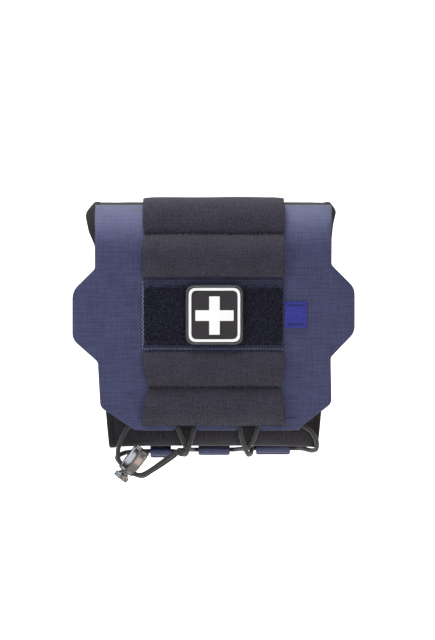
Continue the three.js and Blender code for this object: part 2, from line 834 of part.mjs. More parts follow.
function addLock(cover) {
  const lock = new THREE.Group();
  lock.name = "cord_lock";
  lock.position.set(...LOCK_CENTRE);
  lock.rotation.set(Math.PI / 2, radians(90 - LOCK_TILT), 0, "YXZ");
  cover.add(lock);
  addMesh(lock, "lock_barrel", lockBarrel(), "plastic");
  addMesh(lock, "lock_button", lockButton(), "plastic");
  addMesh(lock, "lock_spring", lockSpring(), "steel");
}

const pouch = new THREE.Group();
pouch.name = "first_aid_pouch";
addCarrier(pouch);
addStraps(pouch);
const frontCover = addFrontCover(pouch);
addPatch(pouch);
addRoll(pouch);
addCord(frontCover);
addLock(frontCover);

export default pouch;
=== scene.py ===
import math
import random
from contextlib import contextmanager

import bmesh
import bpy
from mathutils import Matrix, Vector, noise


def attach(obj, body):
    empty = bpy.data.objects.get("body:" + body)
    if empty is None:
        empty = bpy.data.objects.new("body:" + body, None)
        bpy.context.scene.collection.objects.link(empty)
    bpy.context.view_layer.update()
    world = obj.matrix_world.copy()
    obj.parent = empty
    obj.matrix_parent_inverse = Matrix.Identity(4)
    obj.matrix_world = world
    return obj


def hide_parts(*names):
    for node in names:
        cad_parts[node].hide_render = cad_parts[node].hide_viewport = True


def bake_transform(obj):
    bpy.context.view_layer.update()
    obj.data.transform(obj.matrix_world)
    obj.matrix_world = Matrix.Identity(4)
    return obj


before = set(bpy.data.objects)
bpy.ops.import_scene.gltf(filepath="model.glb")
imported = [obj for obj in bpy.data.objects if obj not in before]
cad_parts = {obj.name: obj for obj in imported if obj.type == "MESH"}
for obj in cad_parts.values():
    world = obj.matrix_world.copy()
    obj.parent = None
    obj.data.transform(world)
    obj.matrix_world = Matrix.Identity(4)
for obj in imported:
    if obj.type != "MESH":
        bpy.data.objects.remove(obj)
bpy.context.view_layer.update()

MM = 0.001
SIDES = (("left", -1), ("right", 1))
FORWARD = (0, -1, 0)
BACKWARD = (0, 1, 0)


# ---------------------------------------------------------------- lines


def spread(start, end, count):
    """Evenly spaced values from start to end, in this many steps."""
    return [start + (end - start) * k / count for k in range(count + 1)]


def arc(cy, cz, radius, start, end, steps):
    """(y, z) points on an arc between two angles in degrees."""
    angles = [math.radians(a) for a in spread(start, end, steps)]
    return [(cy + radius * math.cos(a), cz + radius * math.sin(a)) for a in angles]


def rounded_polygon(corners, steps=5):
    """Points along an outline of (x, z, corner radius) entries."""
    points = []
    for index, (x, z, radius) in enumerate(corners):
        here = Vector((x, z))
        before = Vector(corners[index - 1][:2])
        after = Vector(corners[(index + 1) % len(corners)][:2])
        start = here + (before - here).normalized() * radius
        end = here + (after - here).normalized() * radius
        for t in spread(0, 1, steps):
            p = start * (1 - t) ** 2 + here * 2 * t * (1 - t) + end * t * t
            if not points or (Vector(points[-1]) - p).length > 1e-4:
                points.append((p.x, p.y))
    return points


def rounded_box(x0, z0, x1, z1, radius, steps=5):
    return rounded_polygon([(x0, z0, radius), (x1, z0, radius), (x1, z1, radius), (x0, z1, radius)], steps)


def running(points):
    """Length along a line at each of its points."""
    lengths = [0.0]
    for a, b in zip(points, points[1:]):
        lengths.append(lengths[-1] + (Vector(b) - Vector(a)).length)
    return lengths


def resample(points, step):
    """Points about one step apart along a polyline."""
    points = [Vector(p) for p in points]
    lengths = running(points)
    count = max(2, int(round(lengths[-1] / step)))
    result = []
    seg = 0
    for target in spread(0, lengths[-1], count):
        while seg < len(points) - 2 and lengths[seg + 1] < target:
            seg += 1
        span = lengths[seg + 1] - lengths[seg]
        t = (target - lengths[seg]) / span if span > 1e-9 else 0.0
        result.append(points[seg].lerp(points[seg + 1], t))
    return result


def catmull(points, per_span):
    """Smooth centripetal curve through the points."""
    pts = [Vector(p) for p in points]
    pts = [pts[0] * 2 - pts[1]] + pts + [pts[-1] * 2 - pts[-2]]
    result = []
    for i in range(1, len(pts) - 2):
        p0, p1, p2, p3 = pts[i - 1:i + 3]
        t1 = max((p1 - p0).length, 1e-6) ** 0.5
        t2 = t1 + max((p2 - p1).length, 1e-6) ** 0.5
        t3 = t2 + max((p3 - p2).length, 1e-6) ** 0.5
        for t in spread(t1, t2, per_span)[:-1]:
            a1 = p0.lerp(p1, t / t1)
            a2 = p1.lerp(p2, (t - t1) / (t2 - t1))
            a3 = p2.lerp(p3, (t - t2) / (t3 - t2))
            b1 = a1.lerp(a2, t / t2)
            b2 = a2.lerp(a3, (t - t1) / (t3 - t1))
            result.append(b1.lerp(b2, (t - t1) / (t2 - t1)))
    return result + [pts[-2]]


# ---------------------------------------------------------------- mesh tools


def make_object(name, mesh, *materials):
    obj = bpy.data.objects.new(name, mesh)
    bpy.context.scene.collection.objects.link(obj)
    for material in materials:
        obj.data.materials.append(material)
    return obj


def mesh_from(name, points_mm, faces, uvs_mm=None, face_slots=None):
    """Smooth mesh from millimetre points, with one UV per vertex in metres."""
    mesh = bpy.data.meshes.new(name)
    mesh.from_pydata([[c * MM for c in p] for p in points_mm], [], faces)
    mesh.update()
    if uvs_mm is not None:
        layer = mesh.uv_layers.new(name="UVMap")
        for loop in mesh.loops:
            layer.data[loop.index].uv = [c * MM for c in uvs_mm[loop.vertex_index]]
    for polygon in mesh.polygons:
        polygon.use_smooth = True
        if face_slots is not None:
            polygon.material_index = face_slots[polygon.index]
    return mesh


@contextmanager
def edited(mesh):
    """Gives a bmesh of the mesh and writes it back afterwards."""
    bm = bmesh.new()
    bm.from_mesh(mesh)
    yield bm
    bm.to_mesh(mesh)
    bm.free()


def apply_modifiers(obj):
    depsgraph = bpy.context.evaluated_depsgraph_get()
    mesh = bpy.data.meshes.new_from_object(obj.evaluated_get(depsgraph), depsgraph=depsgraph)
    obj.modifiers.clear()
    old, obj.data = obj.data, mesh
    bpy.data.meshes.remove(old)
    return obj


def modified(obj, kind, **settings):
    """Adds one modifier with these settings and applies it."""
    modifier = obj.modifiers.new(kind.lower(), kind)
    for key, value in settings.items():
        setattr(modifier, key, value)
    return apply_modifiers(obj)


def smooth_by_angle(obj, degrees):
    """Marks sharp edges so that flat faces stay flat and curves stay smooth."""
    with edited(obj.data) as bm:
        for edge in bm.edges:
            if len(edge.link_faces) == 2:
                edge.smooth = edge.calc_face_angle(0) < math.radians(degrees)
        for face in bm.faces:
            face.smooth = True
    return obj


def bevelled(obj, width_mm, segments=2, angle=35, smooth=40):
    modified(obj, "BEVEL", width=width_mm * MM, segments=segments, limit_method="ANGLE",
             angle_limit=math.radians(angle))
    return smooth_by_angle(obj, smooth)


def subtract(obj, cutter, smooth):
    modified(obj, "BOOLEAN", operation="DIFFERENCE", solver="EXACT", object=cutter)
    bpy.data.objects.remove(cutter)
    return smooth_by_angle(obj, smooth)


def loop_faces(loops, count, closed=False):
    """Faces between loops of this many points each; the end loops are joined or capped."""
    faces = []
    for level in range(loops if closed else loops - 1):
        a, b = level * count, (level + 1) % loops * count
        for k in range(count):
            after = (k + 1) % count
            faces.append((a + k, b + k, b + after, a + after))
    if not closed:
        faces.append(tuple(range(count)))
        faces.append(tuple((loops - 1) * count + k for k in reversed(range(count))))
    return faces


def looped(name, loops, uvs, materials, slots=None, closed=False, smooth=50):
    """Solid piece from loops of points, with its faces turned outwards."""
    points = [p for loop in loops for p in loop]
    faces = loop_faces(len(loops), len(loops[0]), closed)
    mesh = mesh_from(name, points, faces, uvs, slots)
    with edited(mesh) as bm:
        bmesh.ops.recalc_face_normals(bm, faces=bm.faces)
    return smooth_by_angle(make_object(name, mesh, *materials), smooth)


def flat_piece(name, outline, y_front, y_back, materials, bevel=0.0):
    """Flat piece cut to an X-Z outline, between two Y levels; slot 1 is the cut edge if given."""
    loops = [[(x, y, z) for x, z in outline] for y in (y_front, y_back)]
    slots = [len(materials) - 1] * len(outline) + [0, 0]
    obj = looped(name, loops, outline * 2, materials, slots, smooth=40)
    return bevelled(obj, bevel) if bevel else obj


def sheet_piece(name, rows, thickness, materials, uv_rows=None, rim_round=0.3):
    """Closed sheet from rows of outer-surface points in mm; slot 1 is its cut edge if given."""
    last_row, last = len(rows) - 1, len(rows[0]) - 1
    front, back, uvs = [], [], []
    for i, row in enumerate(rows):
        for j in range(last + 1):
            p = Vector(row[j])
            along = Vector(rows[min(i + 1, last_row)][j]) - Vector(rows[max(i - 1, 0)][j])
            across = Vector(row[min(j + 1, last)]) - Vector(row[max(j - 1, 0)])
            normal = across.cross(along).normalized()
            inset = rim_round if i in (0, last_row) or j in (0, last) else 0.0
            front.append(p - normal * inset)
            back.append(p - normal * (thickness - inset))
            uvs.append(uv_rows[i][j] if uv_rows else (p.x, p.z))
    total, width = len(front), last + 1
    faces = []
    for a in range(total - width):
        if a % width < last:
            quad = (a, a + 1, a + 1 + width, a + width)
            faces += [quad, tuple(total + k for k in reversed(quad))]
    slots = [0] * len(faces)
    border = list(range(width)) + [i * width + last for i in range(1, last_row + 1)]
    border += [last_row * width + j for j in reversed(range(last))]
    border += [i * width for i in range(last_row - 1, 0, -1)]
    for a, b in zip(border, border[1:] + border[:1]):
        faces.append((b, a, a + total, b + total))
        slots.append(len(materials) - 1)
    mesh = mesh_from(name, front + back, faces, uvs + uvs, slots)
    return smooth_by_angle(make_object(name, mesh, *materials), 50)


def lifted_rows(line, turn, xs_of, lift_of):
    """Rows and UVs of a sheet along a (y, z) line, lifted off the line to the side that turn says."""
    rows, uv_rows = [], []
    for index, ((y, z), run) in enumerate(zip(line, running(line))):
        before, after = line[max(index - 1, 0)], line[min(index + 1, len(line) - 1)]
        dy, dz = after[0] - before[0], after[1] - before[1]
        size = turn * math.hypot(dy, dz)
        row = []
        for s, x in xs_of(index, z):
            lift = lift_of(x, s, run, index)
            row.append((x, y + dz / size * lift, z - dy / size * lift))
        rows.append(row)
        uv_rows.append([(p[0], run) for p in row])
    return rows, uv_rows


def empty_store():
    """Points, faces and UVs of a mesh that grows tube by tube."""
    return [], [], []


def add_tube(store, path, radius, sides, profile=None, closed=False):
    """Adds a tube round a path, on frames that turn with it; profile(length, angle) gives a radius."""
    points, faces, uvs = store
    base = len(points)
    path = [Vector(p) for p in path]
    side = (path[1] - path[0]).normalized().orthogonal().normalized()
    travelled = 0.0
    for index, p in enumerate(path):
        before = path[max(index - 1, 0)]
        tangent = (path[min(index + 1, len(path) - 1)] - before).normalized()
        side = (side - tangent * side.dot(tangent)).normalized()
        up = tangent.cross(side)
        travelled += (p - before).length
        for k in range(sides):
            angle = 2 * math.pi * k / sides
            r = profile(travelled, angle) if profile else radius
            points.append(p + (side * math.cos(angle) + up * math.sin(angle)) * r)
            uvs.append((angle * radius, travelled))
    for face in loop_faces(len(path), sides, closed):
        faces.append(tuple(base + k for k in reversed(face)))
    return store


def store_object(name, store, material):
    return make_object(name, mesh_from(name, *store), material)


def add_stitches(store, path, normal, pitch=2.6, length=2.0, radius=0.19, sink=0.06):
    """Running stitches along a path: short rounded threads that dip at both ends."""
    path = resample(path, 0.5)
    total = running(path)[-1]
    count = max(1, int(total / pitch))
    for index in range(count):
        start = (index + 0.5) / count * total - length / 2
        thread = []
        for t in spread(0, 1, 4):
            at = (start + length * t) / total * (len(path) - 1)
            low = max(0, min(int(at), len(path) - 2))
            lift = radius * (1.1 * math.sin(math.pi * t) - 0.2) - sink
            thread.append(path[low].lerp(path[low + 1], at - low) + Vector(normal) * lift)
        add_tube(store, thread, radius, 5)
    return store


def add_level_row(store, half, y, z, normal, *size):
    """Row of stitches straight across, from -half to half."""
    return add_stitches(store, [(-half, y, z), (half, y, z)], normal, *size)


def add_zigzag(store, a, b, normal, side, width, pitch, radius=0.16):
    """Zigzag whip stitch between two points."""
    a, b = Vector(a), Vector(b)
    steps = max(2, int((b - a).length / pitch))
    points = []
    for index in range(steps + 1):
        swing = Vector(side) * (width * (0.5 if index % 2 else -0.5))
        points.append(a.lerp(b, index / steps) + swing + Vector(normal) * 0.1)
    return add_tube(store, resample(points, 0.4), radius, 5)


def lathe(name, profile, material, segments=48, depth_scale=1.0):
    """Turned body about local Y from (radius, height) pairs in mm."""
    points, uvs, faces, rings = [], [], [], []
    for radius, height in profile:
        steps = segments if radius > 1e-6 else 1
        rings.append([len(points) + k % steps for k in range(segments)])
        for k in range(steps):
            angle = 2 * math.pi * k / segments
            points.append((radius * math.cos(angle), height, radius * math.sin(angle) * depth_scale))
            uvs.append((angle * radius, height))
    for lower, upper in zip(rings, rings[1:]):
        for k in range(segments):
            after = (k + 1) % segments
            corners = dict.fromkeys((lower[k], upper[k], upper[after], lower[after]))
            if len(corners) > 2:
                faces.append(tuple(corners))
    mesh = mesh_from(name, points, faces, uvs)
    with edited(mesh) as bm:
        bmesh.ops.remove_doubles(bm, verts=bm.verts, dist=1e-7)
        bmesh.ops.recalc_face_normals(bm, faces=bm.faces)
    return smooth_by_angle(make_object(name, mesh, material), 38)


# ---------------------------------------------------------------- materials


class Graph:
    """Small helper that builds one node material."""

    def __init__(self, name):
        self.material = bpy.data.materials.new(name)
        self.material.use_nodes = True
        self.tree = self.material.node_tree
        self.shader = self.tree.nodes["Principled BSDF"]

    def feed(self, node, inputs):
        for key, value in inputs.items():
            if isinstance(value, bpy.types.NodeSocket):
                self.tree.links.new(value, node.inputs[key])
            else:
                node.inputs[key].default_value = value

    def shade(self, inputs):
        self.feed(self.shader, inputs)

    def node(self, kind, inputs, output=0, **settings):
        """New node with these settings and inputs; gives one of its outputs."""
        made = self.tree.nodes.new(kind)
        for key, value in settings.items():
            setattr(made, key, value)
        self.feed(made, inputs)
        return made.outputs[output]

    def math(self, operation, a, b=0.0, c=0.5, clamp=False):
        return self.node("ShaderNodeMath", {0: a, 1: b, 2: c}, operation=operation, use_clamp=clamp)

    def vary(self, value, source, amount, clamp=False):
        """The value, moved up and down by a noise of mean one half."""
        swing = self.math("MULTIPLY", self.math("SUBTRACT", source, 0.5), amount)
        return self.math("ADD", value, swing, clamp=clamp)

    def mix(self, factor, a, b):
        return self.node("ShaderNodeMix", {0: factor, 2: a, 3: b}, data_type="FLOAT")

    def colour(self, factor, a, b):
        return self.node("ShaderNodeMix", {0: factor, 6: (*a, 1.0), 7: (*b, 1.0)}, 2, data_type="RGBA")

    def coords(self, kind="UV"):
        """Texture coordinates in millimetres."""
        source = self.node("ShaderNodeTexCoord", {}, kind)
        return self.node("ShaderNodeVectorMath", {0: source, 3: 1 / MM}, operation="SCALE")

    def noise(self, vector, scale, detail=2.0, rough=0.5, stretch=(1, 1, 1)):
        mapped = self.node("ShaderNodeMapping", {"Scale": stretch, "Vector": vector})
        return self.node("ShaderNodeTexNoise", {"Vector": mapped, "Scale": scale, "Detail": detail,
                                                "Roughness": rough})

    def bump(self, height, strength, distance_mm):
        normal = self.node("ShaderNodeBump", {"Strength": strength, "Distance": distance_mm * MM,
                                              "Height": height})
        self.shade({"Normal": normal})

    def split(self, vector):
        return self.node("ShaderNodeSeparateXYZ", {0: vector}).node.outputs

    def weave(self, vector, pitch, second="Y"):
        """Height and over-under mask of a plain weave with this thread pitch in mm."""
        axes = self.split(vector)
        across = self.math("SINE", self.math("MULTIPLY", axes["X"], math.pi / pitch))
        along = self.math("SINE", self.math("MULTIPLY", axes[second], math.pi / pitch))
        mask = self.math("MULTIPLY_ADD", self.math("MULTIPLY", across, along), 6.0, 0.5, True)
        a = self.math("ABSOLUTE", across)
        b = self.math("ABSOLUTE", along)
        warp = self.math("MULTIPLY", a, self.math("ADD", self.math("MULTIPLY", b, 0.45), 0.55))
        weft = self.math("MULTIPLY", b, self.math("ADD", self.math("MULTIPLY", a, 0.45), 0.55))
        return self.mix(mask, weft, warp), mask


def fabric(name, dark, light, pitch, streak=0.4, bump=0.5, depth=0.2, roughness=0.8, sheen=0.05,
           kind="UV", cloud=0.3, rib=0.0, speck=0.0, speck_size=1.3, fuzz=0.0, base=0.25, gloss=0.2,
           shine=(1.0, 1.0, 1.0, 1.0)):
    """Woven cloth: threads over and under, uneven yarns, ribs, flecks and faint worn patches."""
    g = Graph(name)
    vector = g.coords(kind)
    second, tall = ("Z", (1.0, 1.0, 0.1)) if kind == "Object" else ("Y", (1.0, 0.1, 1.0))
    height, mask = g.weave(vector, pitch, second)
    warp = g.noise(vector, 0.8 / pitch, 2.0, 0.6, tall)
    weft = g.noise(vector, 0.8 / pitch, 2.0, 0.6, (0.1, 1.0, 1.0))
    yarn = g.mix(mask, weft, warp)
    value = g.vary(g.math("MULTIPLY", height, 0.35), yarn, 2.6 * streak)
    value = g.vary(value, g.noise(vector, 0.05, 3.0, 0.6), cloud)
    relief = g.math("ADD", height, g.math("MULTIPLY", yarn, 0.5))
    if rib:
        value = g.vary(value, weft, 2.4 * rib)
    if speck:
        fleck = g.noise(vector, 1.0 / speck_size, 2.0, 0.7)
        value = g.vary(value, fleck, speck)
        relief = g.math("ADD", relief, g.math("MULTIPLY", fleck, 0.6 * speck))
    if fuzz:
        relief = g.math("ADD", relief, g.math("MULTIPLY", g.noise(vector, 2.6, 3.0, 0.7), fuzz))
    g.shade({
        "Base Color": g.colour(g.math("ADD", value, base, clamp=True), dark, light),
        "Roughness": g.math("MULTIPLY_ADD", yarn, 0.16, roughness - 0.08, True),
        "Sheen Weight": sheen, "Sheen Roughness": 0.6,
        "Specular IOR Level": gloss, "Specular Tint": shine,
    })
    g.bump(relief, bump, depth)
    return g.material


def moulded(name, base, second, roughness, bump=0.12, specular=0.4, coat=0.0):
    """Moulded rubber or plastic: fine grain, faint mottling, handled gloss."""
    g = Graph(name)
    vector = g.coords("Object")
    broad = g.noise(vector, 0.16, 3.0, 0.55)
    g.shade({
        "Base Color": g.colour(broad, base, second),
        "Roughness": g.math("MULTIPLY_ADD", broad, 0.14, roughness - 0.07, True),
        "Specular IOR Level": specular, "Coat Weight": coat, "Coat Roughness": 0.12,
    })
    g.bump(g.noise(vector, 2.2, 3.0, 0.6), bump, 0.12)
    return g.material


def plated(name):
    """Plated metal with fine drawn scratches."""
    g = Graph(name)
    scratch = g.noise(g.coords("Object"), 1.4, 4.0, 0.7, (6.0, 1.0, 1.0))
    g.shade({
        "Base Color": g.colour(scratch, (0.33, 0.34, 0.37), (0.55, 0.56, 0.6)),
        "Roughness": g.math("MULTIPLY_ADD", scratch, 0.2, 0.2, True), "Metallic": 1.0,
    })
    g.bump(scratch, 0.08, 0.05)
    return g.material


def braided(name, dark, light):
    """Braided sheath: crossing yarns that spiral both ways round the cord."""
    g = Graph(name)
    vector = g.coords()
    axes = g.split(vector)
    around = g.math("MULTIPLY", axes["X"], 8.0 / CORD_RADIUS)
    along = g.math("MULTIPLY", axes["Y"], 2 * math.pi / 1.6)
    left = g.math("SINE", g.math("ADD", around, along))
    right = g.math("SINE", g.math("SUBTRACT", around, along))
    crossing = g.math("MULTIPLY", left, right)
    fleck = g.noise(vector, 1.3, 2.0, 0.6)
    value = g.vary(g.math("MULTIPLY_ADD", crossing, 0.3, 0.35), fleck, 0.8, True)
    g.shade({"Base Color": g.colour(value, dark, light), "Roughness": 0.72, "Sheen Weight": 0.25})
    g.bump(g.math("ADD", crossing, fleck), 0.5, 0.12)
    return g.material


def lit_white(name, strength):
    """Matt white studio paper that glows so that it photographs white."""
    g = Graph(name)
    tone = g.noise(g.coords("Object"), 0.002)
    g.shade({
        "Base Color": g.colour(tone, (0.93, 0.93, 0.93), (0.97, 0.97, 0.97)), "Roughness": 0.9,
        "Emission Color": (1, 1, 1, 1), "Emission Strength": strength,
    })
    return g.material


def sewing_thread(name, dark, light, **looks):
    return fabric(name, dark, light, bump=0.3, depth=0.05, roughness=0.6, **looks)


CORD_RADIUS = 1.5
NAVY = fabric("navy_laminate", (0.008, 0.009, 0.026), (0.066, 0.067, 0.168), 1.15, streak=0.5, bump=0.7,
              depth=0.22, roughness=0.4, sheen=0.06, cloud=0.15, rib=0.12, speck=0.5, speck_size=0.9,
              base=0.13, gloss=0.9, shine=(0.55, 0.6, 1.0, 1.0))
NAVY_EDGE = moulded("laminate_cut_edge", (0.006, 0.006, 0.009), (0.014, 0.014, 0.02), 0.8)
NAVY_TAPE = fabric("navy_tape", (0.010, 0.011, 0.024), (0.045, 0.048, 0.105), 0.7, streak=0.6, bump=0.6,
                   sheen=0.08, speck=0.9, base=0.15)
ELASTIC = fabric("elastic_band", (0.010, 0.009, 0.0135), (0.090, 0.084, 0.130), 0.9, streak=0.3,
                 bump=0.8, depth=0.35, roughness=0.9, sheen=0.1, speck=1.3, speck_size=1.1, fuzz=0.8,
                 base=0.13)
LOOP = fabric("loop_pile", (0.002, 0.002, 0.005), (0.040, 0.041, 0.105), 0.9, bump=1.0, depth=0.6,
              roughness=1.0, sheen=0.04, speck=4.0, speck_size=1.6, fuzz=1.6, base=0.05)
PILE = fabric("loop_pile_fibre", (0.004, 0.004, 0.010), (0.070, 0.074, 0.170), 0.5, streak=0.6, bump=0.2,
              depth=0.1, roughness=0.9, speck=3.0, speck_size=1.8, base=0.1)
BLACK = fabric("black_nylon", (0.007, 0.0065, 0.008), (0.052, 0.048, 0.060), 0.55, streak=0.5,
               roughness=0.82, sheen=0.04, speck=0.9, base=0.2)
WEBBING = fabric("black_webbing", (0.006, 0.006, 0.007), (0.05, 0.048, 0.054), 0.95, bump=0.9, depth=0.4,
                 roughness=0.75, sheen=0.08)
TAPE = fabric("binding_tape", (0.006, 0.0055, 0.0065), (0.032, 0.030, 0.034), 0.4, depth=0.15,
              roughness=0.85, sheen=0.03)
# Pale grey piping material: its light colour is a painted highlight along the roll's bottom front hem, not
# the black cloth's own colour.
PAINTED_HIGHLIGHT_PIPING = fabric("hem_piping_painted_highlight", (0.05, 0.045, 0.048), (0.17, 0.158, 0.165), 0.4, streak=0.6, depth=0.15,
                roughness=0.7, sheen=0.1)
GAUZE = fabric("gauze_wrap", (0.50, 0.48, 0.43), (0.82, 0.8, 0.75), 0.75, streak=0.5, depth=0.25,
               sheen=0.15, kind="Object", cloud=0.5, speck=0.5, base=0.5)
LABEL = fabric("blue_label", (0.016, 0.018, 0.17), (0.055, 0.062, 0.46), 0.5, bump=0.4, depth=0.12,
               roughness=0.6, sheen=0.1, speck=0.5, speck_size=1.4, base=0.1)
LABEL_DARK = fabric("blue_label_stripe", (0.006, 0.006, 0.05), (0.022, 0.024, 0.18), 0.4, streak=0.35,
                    bump=0.4, depth=0.12, roughness=0.6, sheen=0.15)
THREAD = sewing_thread("black_thread", (0.004, 0.004, 0.005), (0.03, 0.028, 0.034), pitch=0.2)
THREAD_NAVY = sewing_thread("navy_thread", (0.03, 0.032, 0.06), (0.16, 0.17, 0.28), pitch=0.2)
THREAD_PALE = sewing_thread("pale_thread", (0.20, 0.21, 0.30), (0.52, 0.55, 0.68), pitch=0.3,
                            streak=0.6, sheen=0.1)
RUBBER = moulded("patch_rubber", (0.017, 0.0138, 0.0175), (0.028, 0.0232, 0.029), 0.6, 0.3)
RUBBER_RIM = moulded("patch_rim", (0.060, 0.058, 0.068), (0.10, 0.098, 0.11), 0.45, 0.3)
WHITE = moulded("patch_white", (0.93, 0.93, 0.925), (0.98, 0.98, 0.975), 0.5, 0.08)
PLASTIC = moulded("lock_plastic", (0.006, 0.006, 0.007), (0.012, 0.011, 0.012), 0.2, 0.04, 1.0, 1.0)
STEEL = plated("snap_metal")
CORD = braided("cord_sheath", (0.008, 0.008, 0.009), (0.05, 0.047, 0.052))


# ---------------------------------------------------------------- front panel

FRONT_Y = -58.0
SEWN_Y = FRONT_Y - 0.3  # outer face of the panel as the pieces sewn onto it take it
BEND_Z = 45.0
BEND_R = 39.0
BEND_Y = FRONT_Y + BEND_R
FRONT_BOTTOM = -63.2
FRONT_TOP = 80.2
FRONT_THICK = 1.6
FRONT_TUNNELS = [("left", -50.2, -26.2), ("centre", -9.1, 13.6), ("right", 30.6, 54.6)]
FRONT_TUNNEL = (-53.0, -60.0)
SIDE_RIGHT = [(52.5, FRONT_BOTTOM, 3), (74.6, -46.2, 3), (74.1, -17, 1.5), (89.3, -1.2, 4),
              (89.3, 26.8, 4), (74.6, 41.6, 1.5), (75.2, 90, 1)]
SIDE_LEFT = [(-49.7, FRONT_BOTTOM, 3), (-71.6, -48.6, 3), (-73.2, -19.9, 2), (-89.3, -5.7, 4),
             (-89.3, 24.9, 5), (-75, 39, 1.5), (-75.3, 90, 1)]


def side_edge(corners):
    """Rounded side edge of the front panel, from its bottom corner upwards."""
    closed = [(0, FRONT_BOTTOM, 0.5), *corners, (0, 90, 0.5)]
    points = [p for p in rounded_polygon(closed, 8) if abs(p[0]) > 30]
    return [(x, z + 1e-5 * i) for i, (x, z) in enumerate(points)]


def edge_x(z, edge):
    """X of a side edge at height z."""
    if z <= edge[0][1]:
        return edge[0][0]
    for (xa, za), (xb, zb) in zip(edge, edge[1:]):
        if za <= z <= zb:
            return xa + (xb - xa) * (z - za) / max(zb - za, 1e-6)
    return edge[-1][0]


def panel_wave(x, z):
    """Slow unevenness of the laminate, with wings that bend slightly back."""
    return 0.35 * noise.noise(Vector((x * 0.02, z * 0.025, 3.1))) + 0.8 * max(0.0, (abs(x) - 70) / 20) ** 2


def front_panel():
    """Laminate panel, bent back at its top, with notches between the hem tunnels."""
    left, right = side_edge(SIDE_LEFT), side_edge(SIDE_RIGHT)
    levels = [FRONT_BOTTOM + 1.1 * k for k in range(98)]
    levels += [z for edge in (left, right) for _, z in edge if z < BEND_Z - 1]
    profile = []
    for z in sorted(levels):
        if not profile or z - profile[-1][1] > 0.12:
            profile.append((FRONT_Y, z))
    top_angle = math.degrees(math.asin((FRONT_TOP - BEND_Z) / BEND_R))
    profile += arc(BEND_Y, BEND_Z, BEND_R, 180, 180 - top_angle, 32)
    rows, uv_rows = [], []
    for (y, z), run in zip(profile, running(profile)):
        xs = spread(edge_x(z, left), edge_x(z, right), 72)
        rows.append([(x, y + panel_wave(x, z), z) for x in xs])
        uv_rows.append([(x, run) for x in xs])
    obj = sheet_piece("front_panel_fabric", rows, FRONT_THICK, [NAVY, NAVY_EDGE], uv_rows)
    for (_, _, a), (_, b, _) in zip(FRONT_TUNNELS, FRONT_TUNNELS[1:]):
        outline = [(a + 0.3, -70), (b - 0.3, -70), (b - 0.6, FRONT_BOTTOM), (b - 3.4, -59.8),
                   (a + 3.4, -59.8), (a + 0.6, FRONT_BOTTOM)]
        subtract(obj, flat_piece("notch_cutter", outline, -62, -50, [NAVY_EDGE]), 50)
    return obj


def hem_tunnel(name, low, high, centre, tail):
    """Hem folded round the cord, drawn out towards its seam; both ends are open."""
    y, z = centre
    outer, wall, around, columns = 3.1, 0.5, 48, 14
    loops, uvs = [], []
    for layer, xs in enumerate((spread(low, high, columns), spread(low, high, columns)[::-1])):
        for x in xs:
            loop = []
            for k in range(around):
                angle = 2 * math.pi * k / around
                drawn = 3.0 * max(0.0, math.cos(angle - tail)) ** 7
                wrinkle = 0.1 * noise.noise(Vector((x * 0.5, angle * 1.3, low)))
                r = outer - wall * layer + (drawn + wrinkle) * (0.85 if layer else 1.0)
                loop.append((x, y - r * math.cos(angle), z + r * math.sin(angle)))
                uvs.append((x, (layer * around + k) * 0.4))
            loops.append(loop)
    return looped(name, loops, uvs, [NAVY], closed=True)


# ---------------------------------------------------------------- elastic bands

ELASTIC_HALF = 44.8
ELASTIC_THICK = 1.8
BAND_REST = BEND_R + 0.3 + ELASTIC_THICK  # radius of a band that lies on the bend
CHANNEL_RISE = 5.5
ROW_ANGLE = 23.6  # height on the bend of the stitch row between the upper channels


def bulge(u, height):
    """Height of a channel at a share of its width."""
    return height * math.sin(math.pi * min(max(u, 0.0), 1.0)) ** 0.85


def pucker(x, distance, seed):
    """Small gathers beside a stitch row, fading out with distance from it."""
    fade = math.exp(-abs(distance) / 2.4)
    phase = x * 2 * math.pi / 3.6 + noise.noise(Vector((x * 0.12, seed, 0))) * 3.5
    pit = math.exp(-abs(distance) / 0.9) * (0.5 - 0.5 * math.sin(phase)) ** 2
    return 0.25 * fade * math.sin(phase) - 0.25 * fade - 0.8 * pit


def rim_drop(s):
    """How far a channel sinks towards its open ends."""
    return 0.45 * max(0.0, abs(s) - 0.86) / 0.14


def elastic_band(name, line, half_of, detail):
    """Band along an outer (y, z) line; half_of gives its left and right half widths."""

    def xs_of(index, z):
        left, right = half_of(index, z)
        return [(s, s * (left if s < 0 else right)) for s in spread(-1, 1, 60)]

    rows, uv_rows = lifted_rows(line, 1, xs_of, detail)
    return sheet_piece(name, rows[::-1], ELASTIC_THICK, [ELASTIC], uv_rows[::-1], 0.35)


def upper_band_line():
    """Outer line of the upper elastic, from its sewn tail over the roll to the loop field."""
    line = [(2.1, z) for z in (*range(52, 77, 4), 79.0)]
    curve = [(2.1, 79.0), (1.9, 81.0), (0.2, 82.6), (-4.3, 84.1), (-10.0, 84.8), (-15.0, 85.0),
             (-24.0, 85.0)]
    line += [(p.y, p.z) for p in catmull([(0, y, z) for y, z in curve], 5)[1:]]
    for u in spread(0, 1, 30)[1:]:
        angle = math.radians(70 + (ROW_ANGLE - 70) * u)
        radius = BAND_REST + bulge(u, 6.8)
        line.append((BEND_Y - radius * math.cos(angle), BEND_Z + radius * math.sin(angle)))
    row_index = len(line) - 1
    row_z = line[-1][1]
    for u in spread(0, 1, 24)[1:]:
        z = row_z + (32.9 - row_z) * u
        base = BEND_Y - math.sqrt(BAND_REST ** 2 - max(z - BEND_Z, 0.0) ** 2)
        line.append((base - bulge(u, CHANNEL_RISE), z))
    return line, row_index


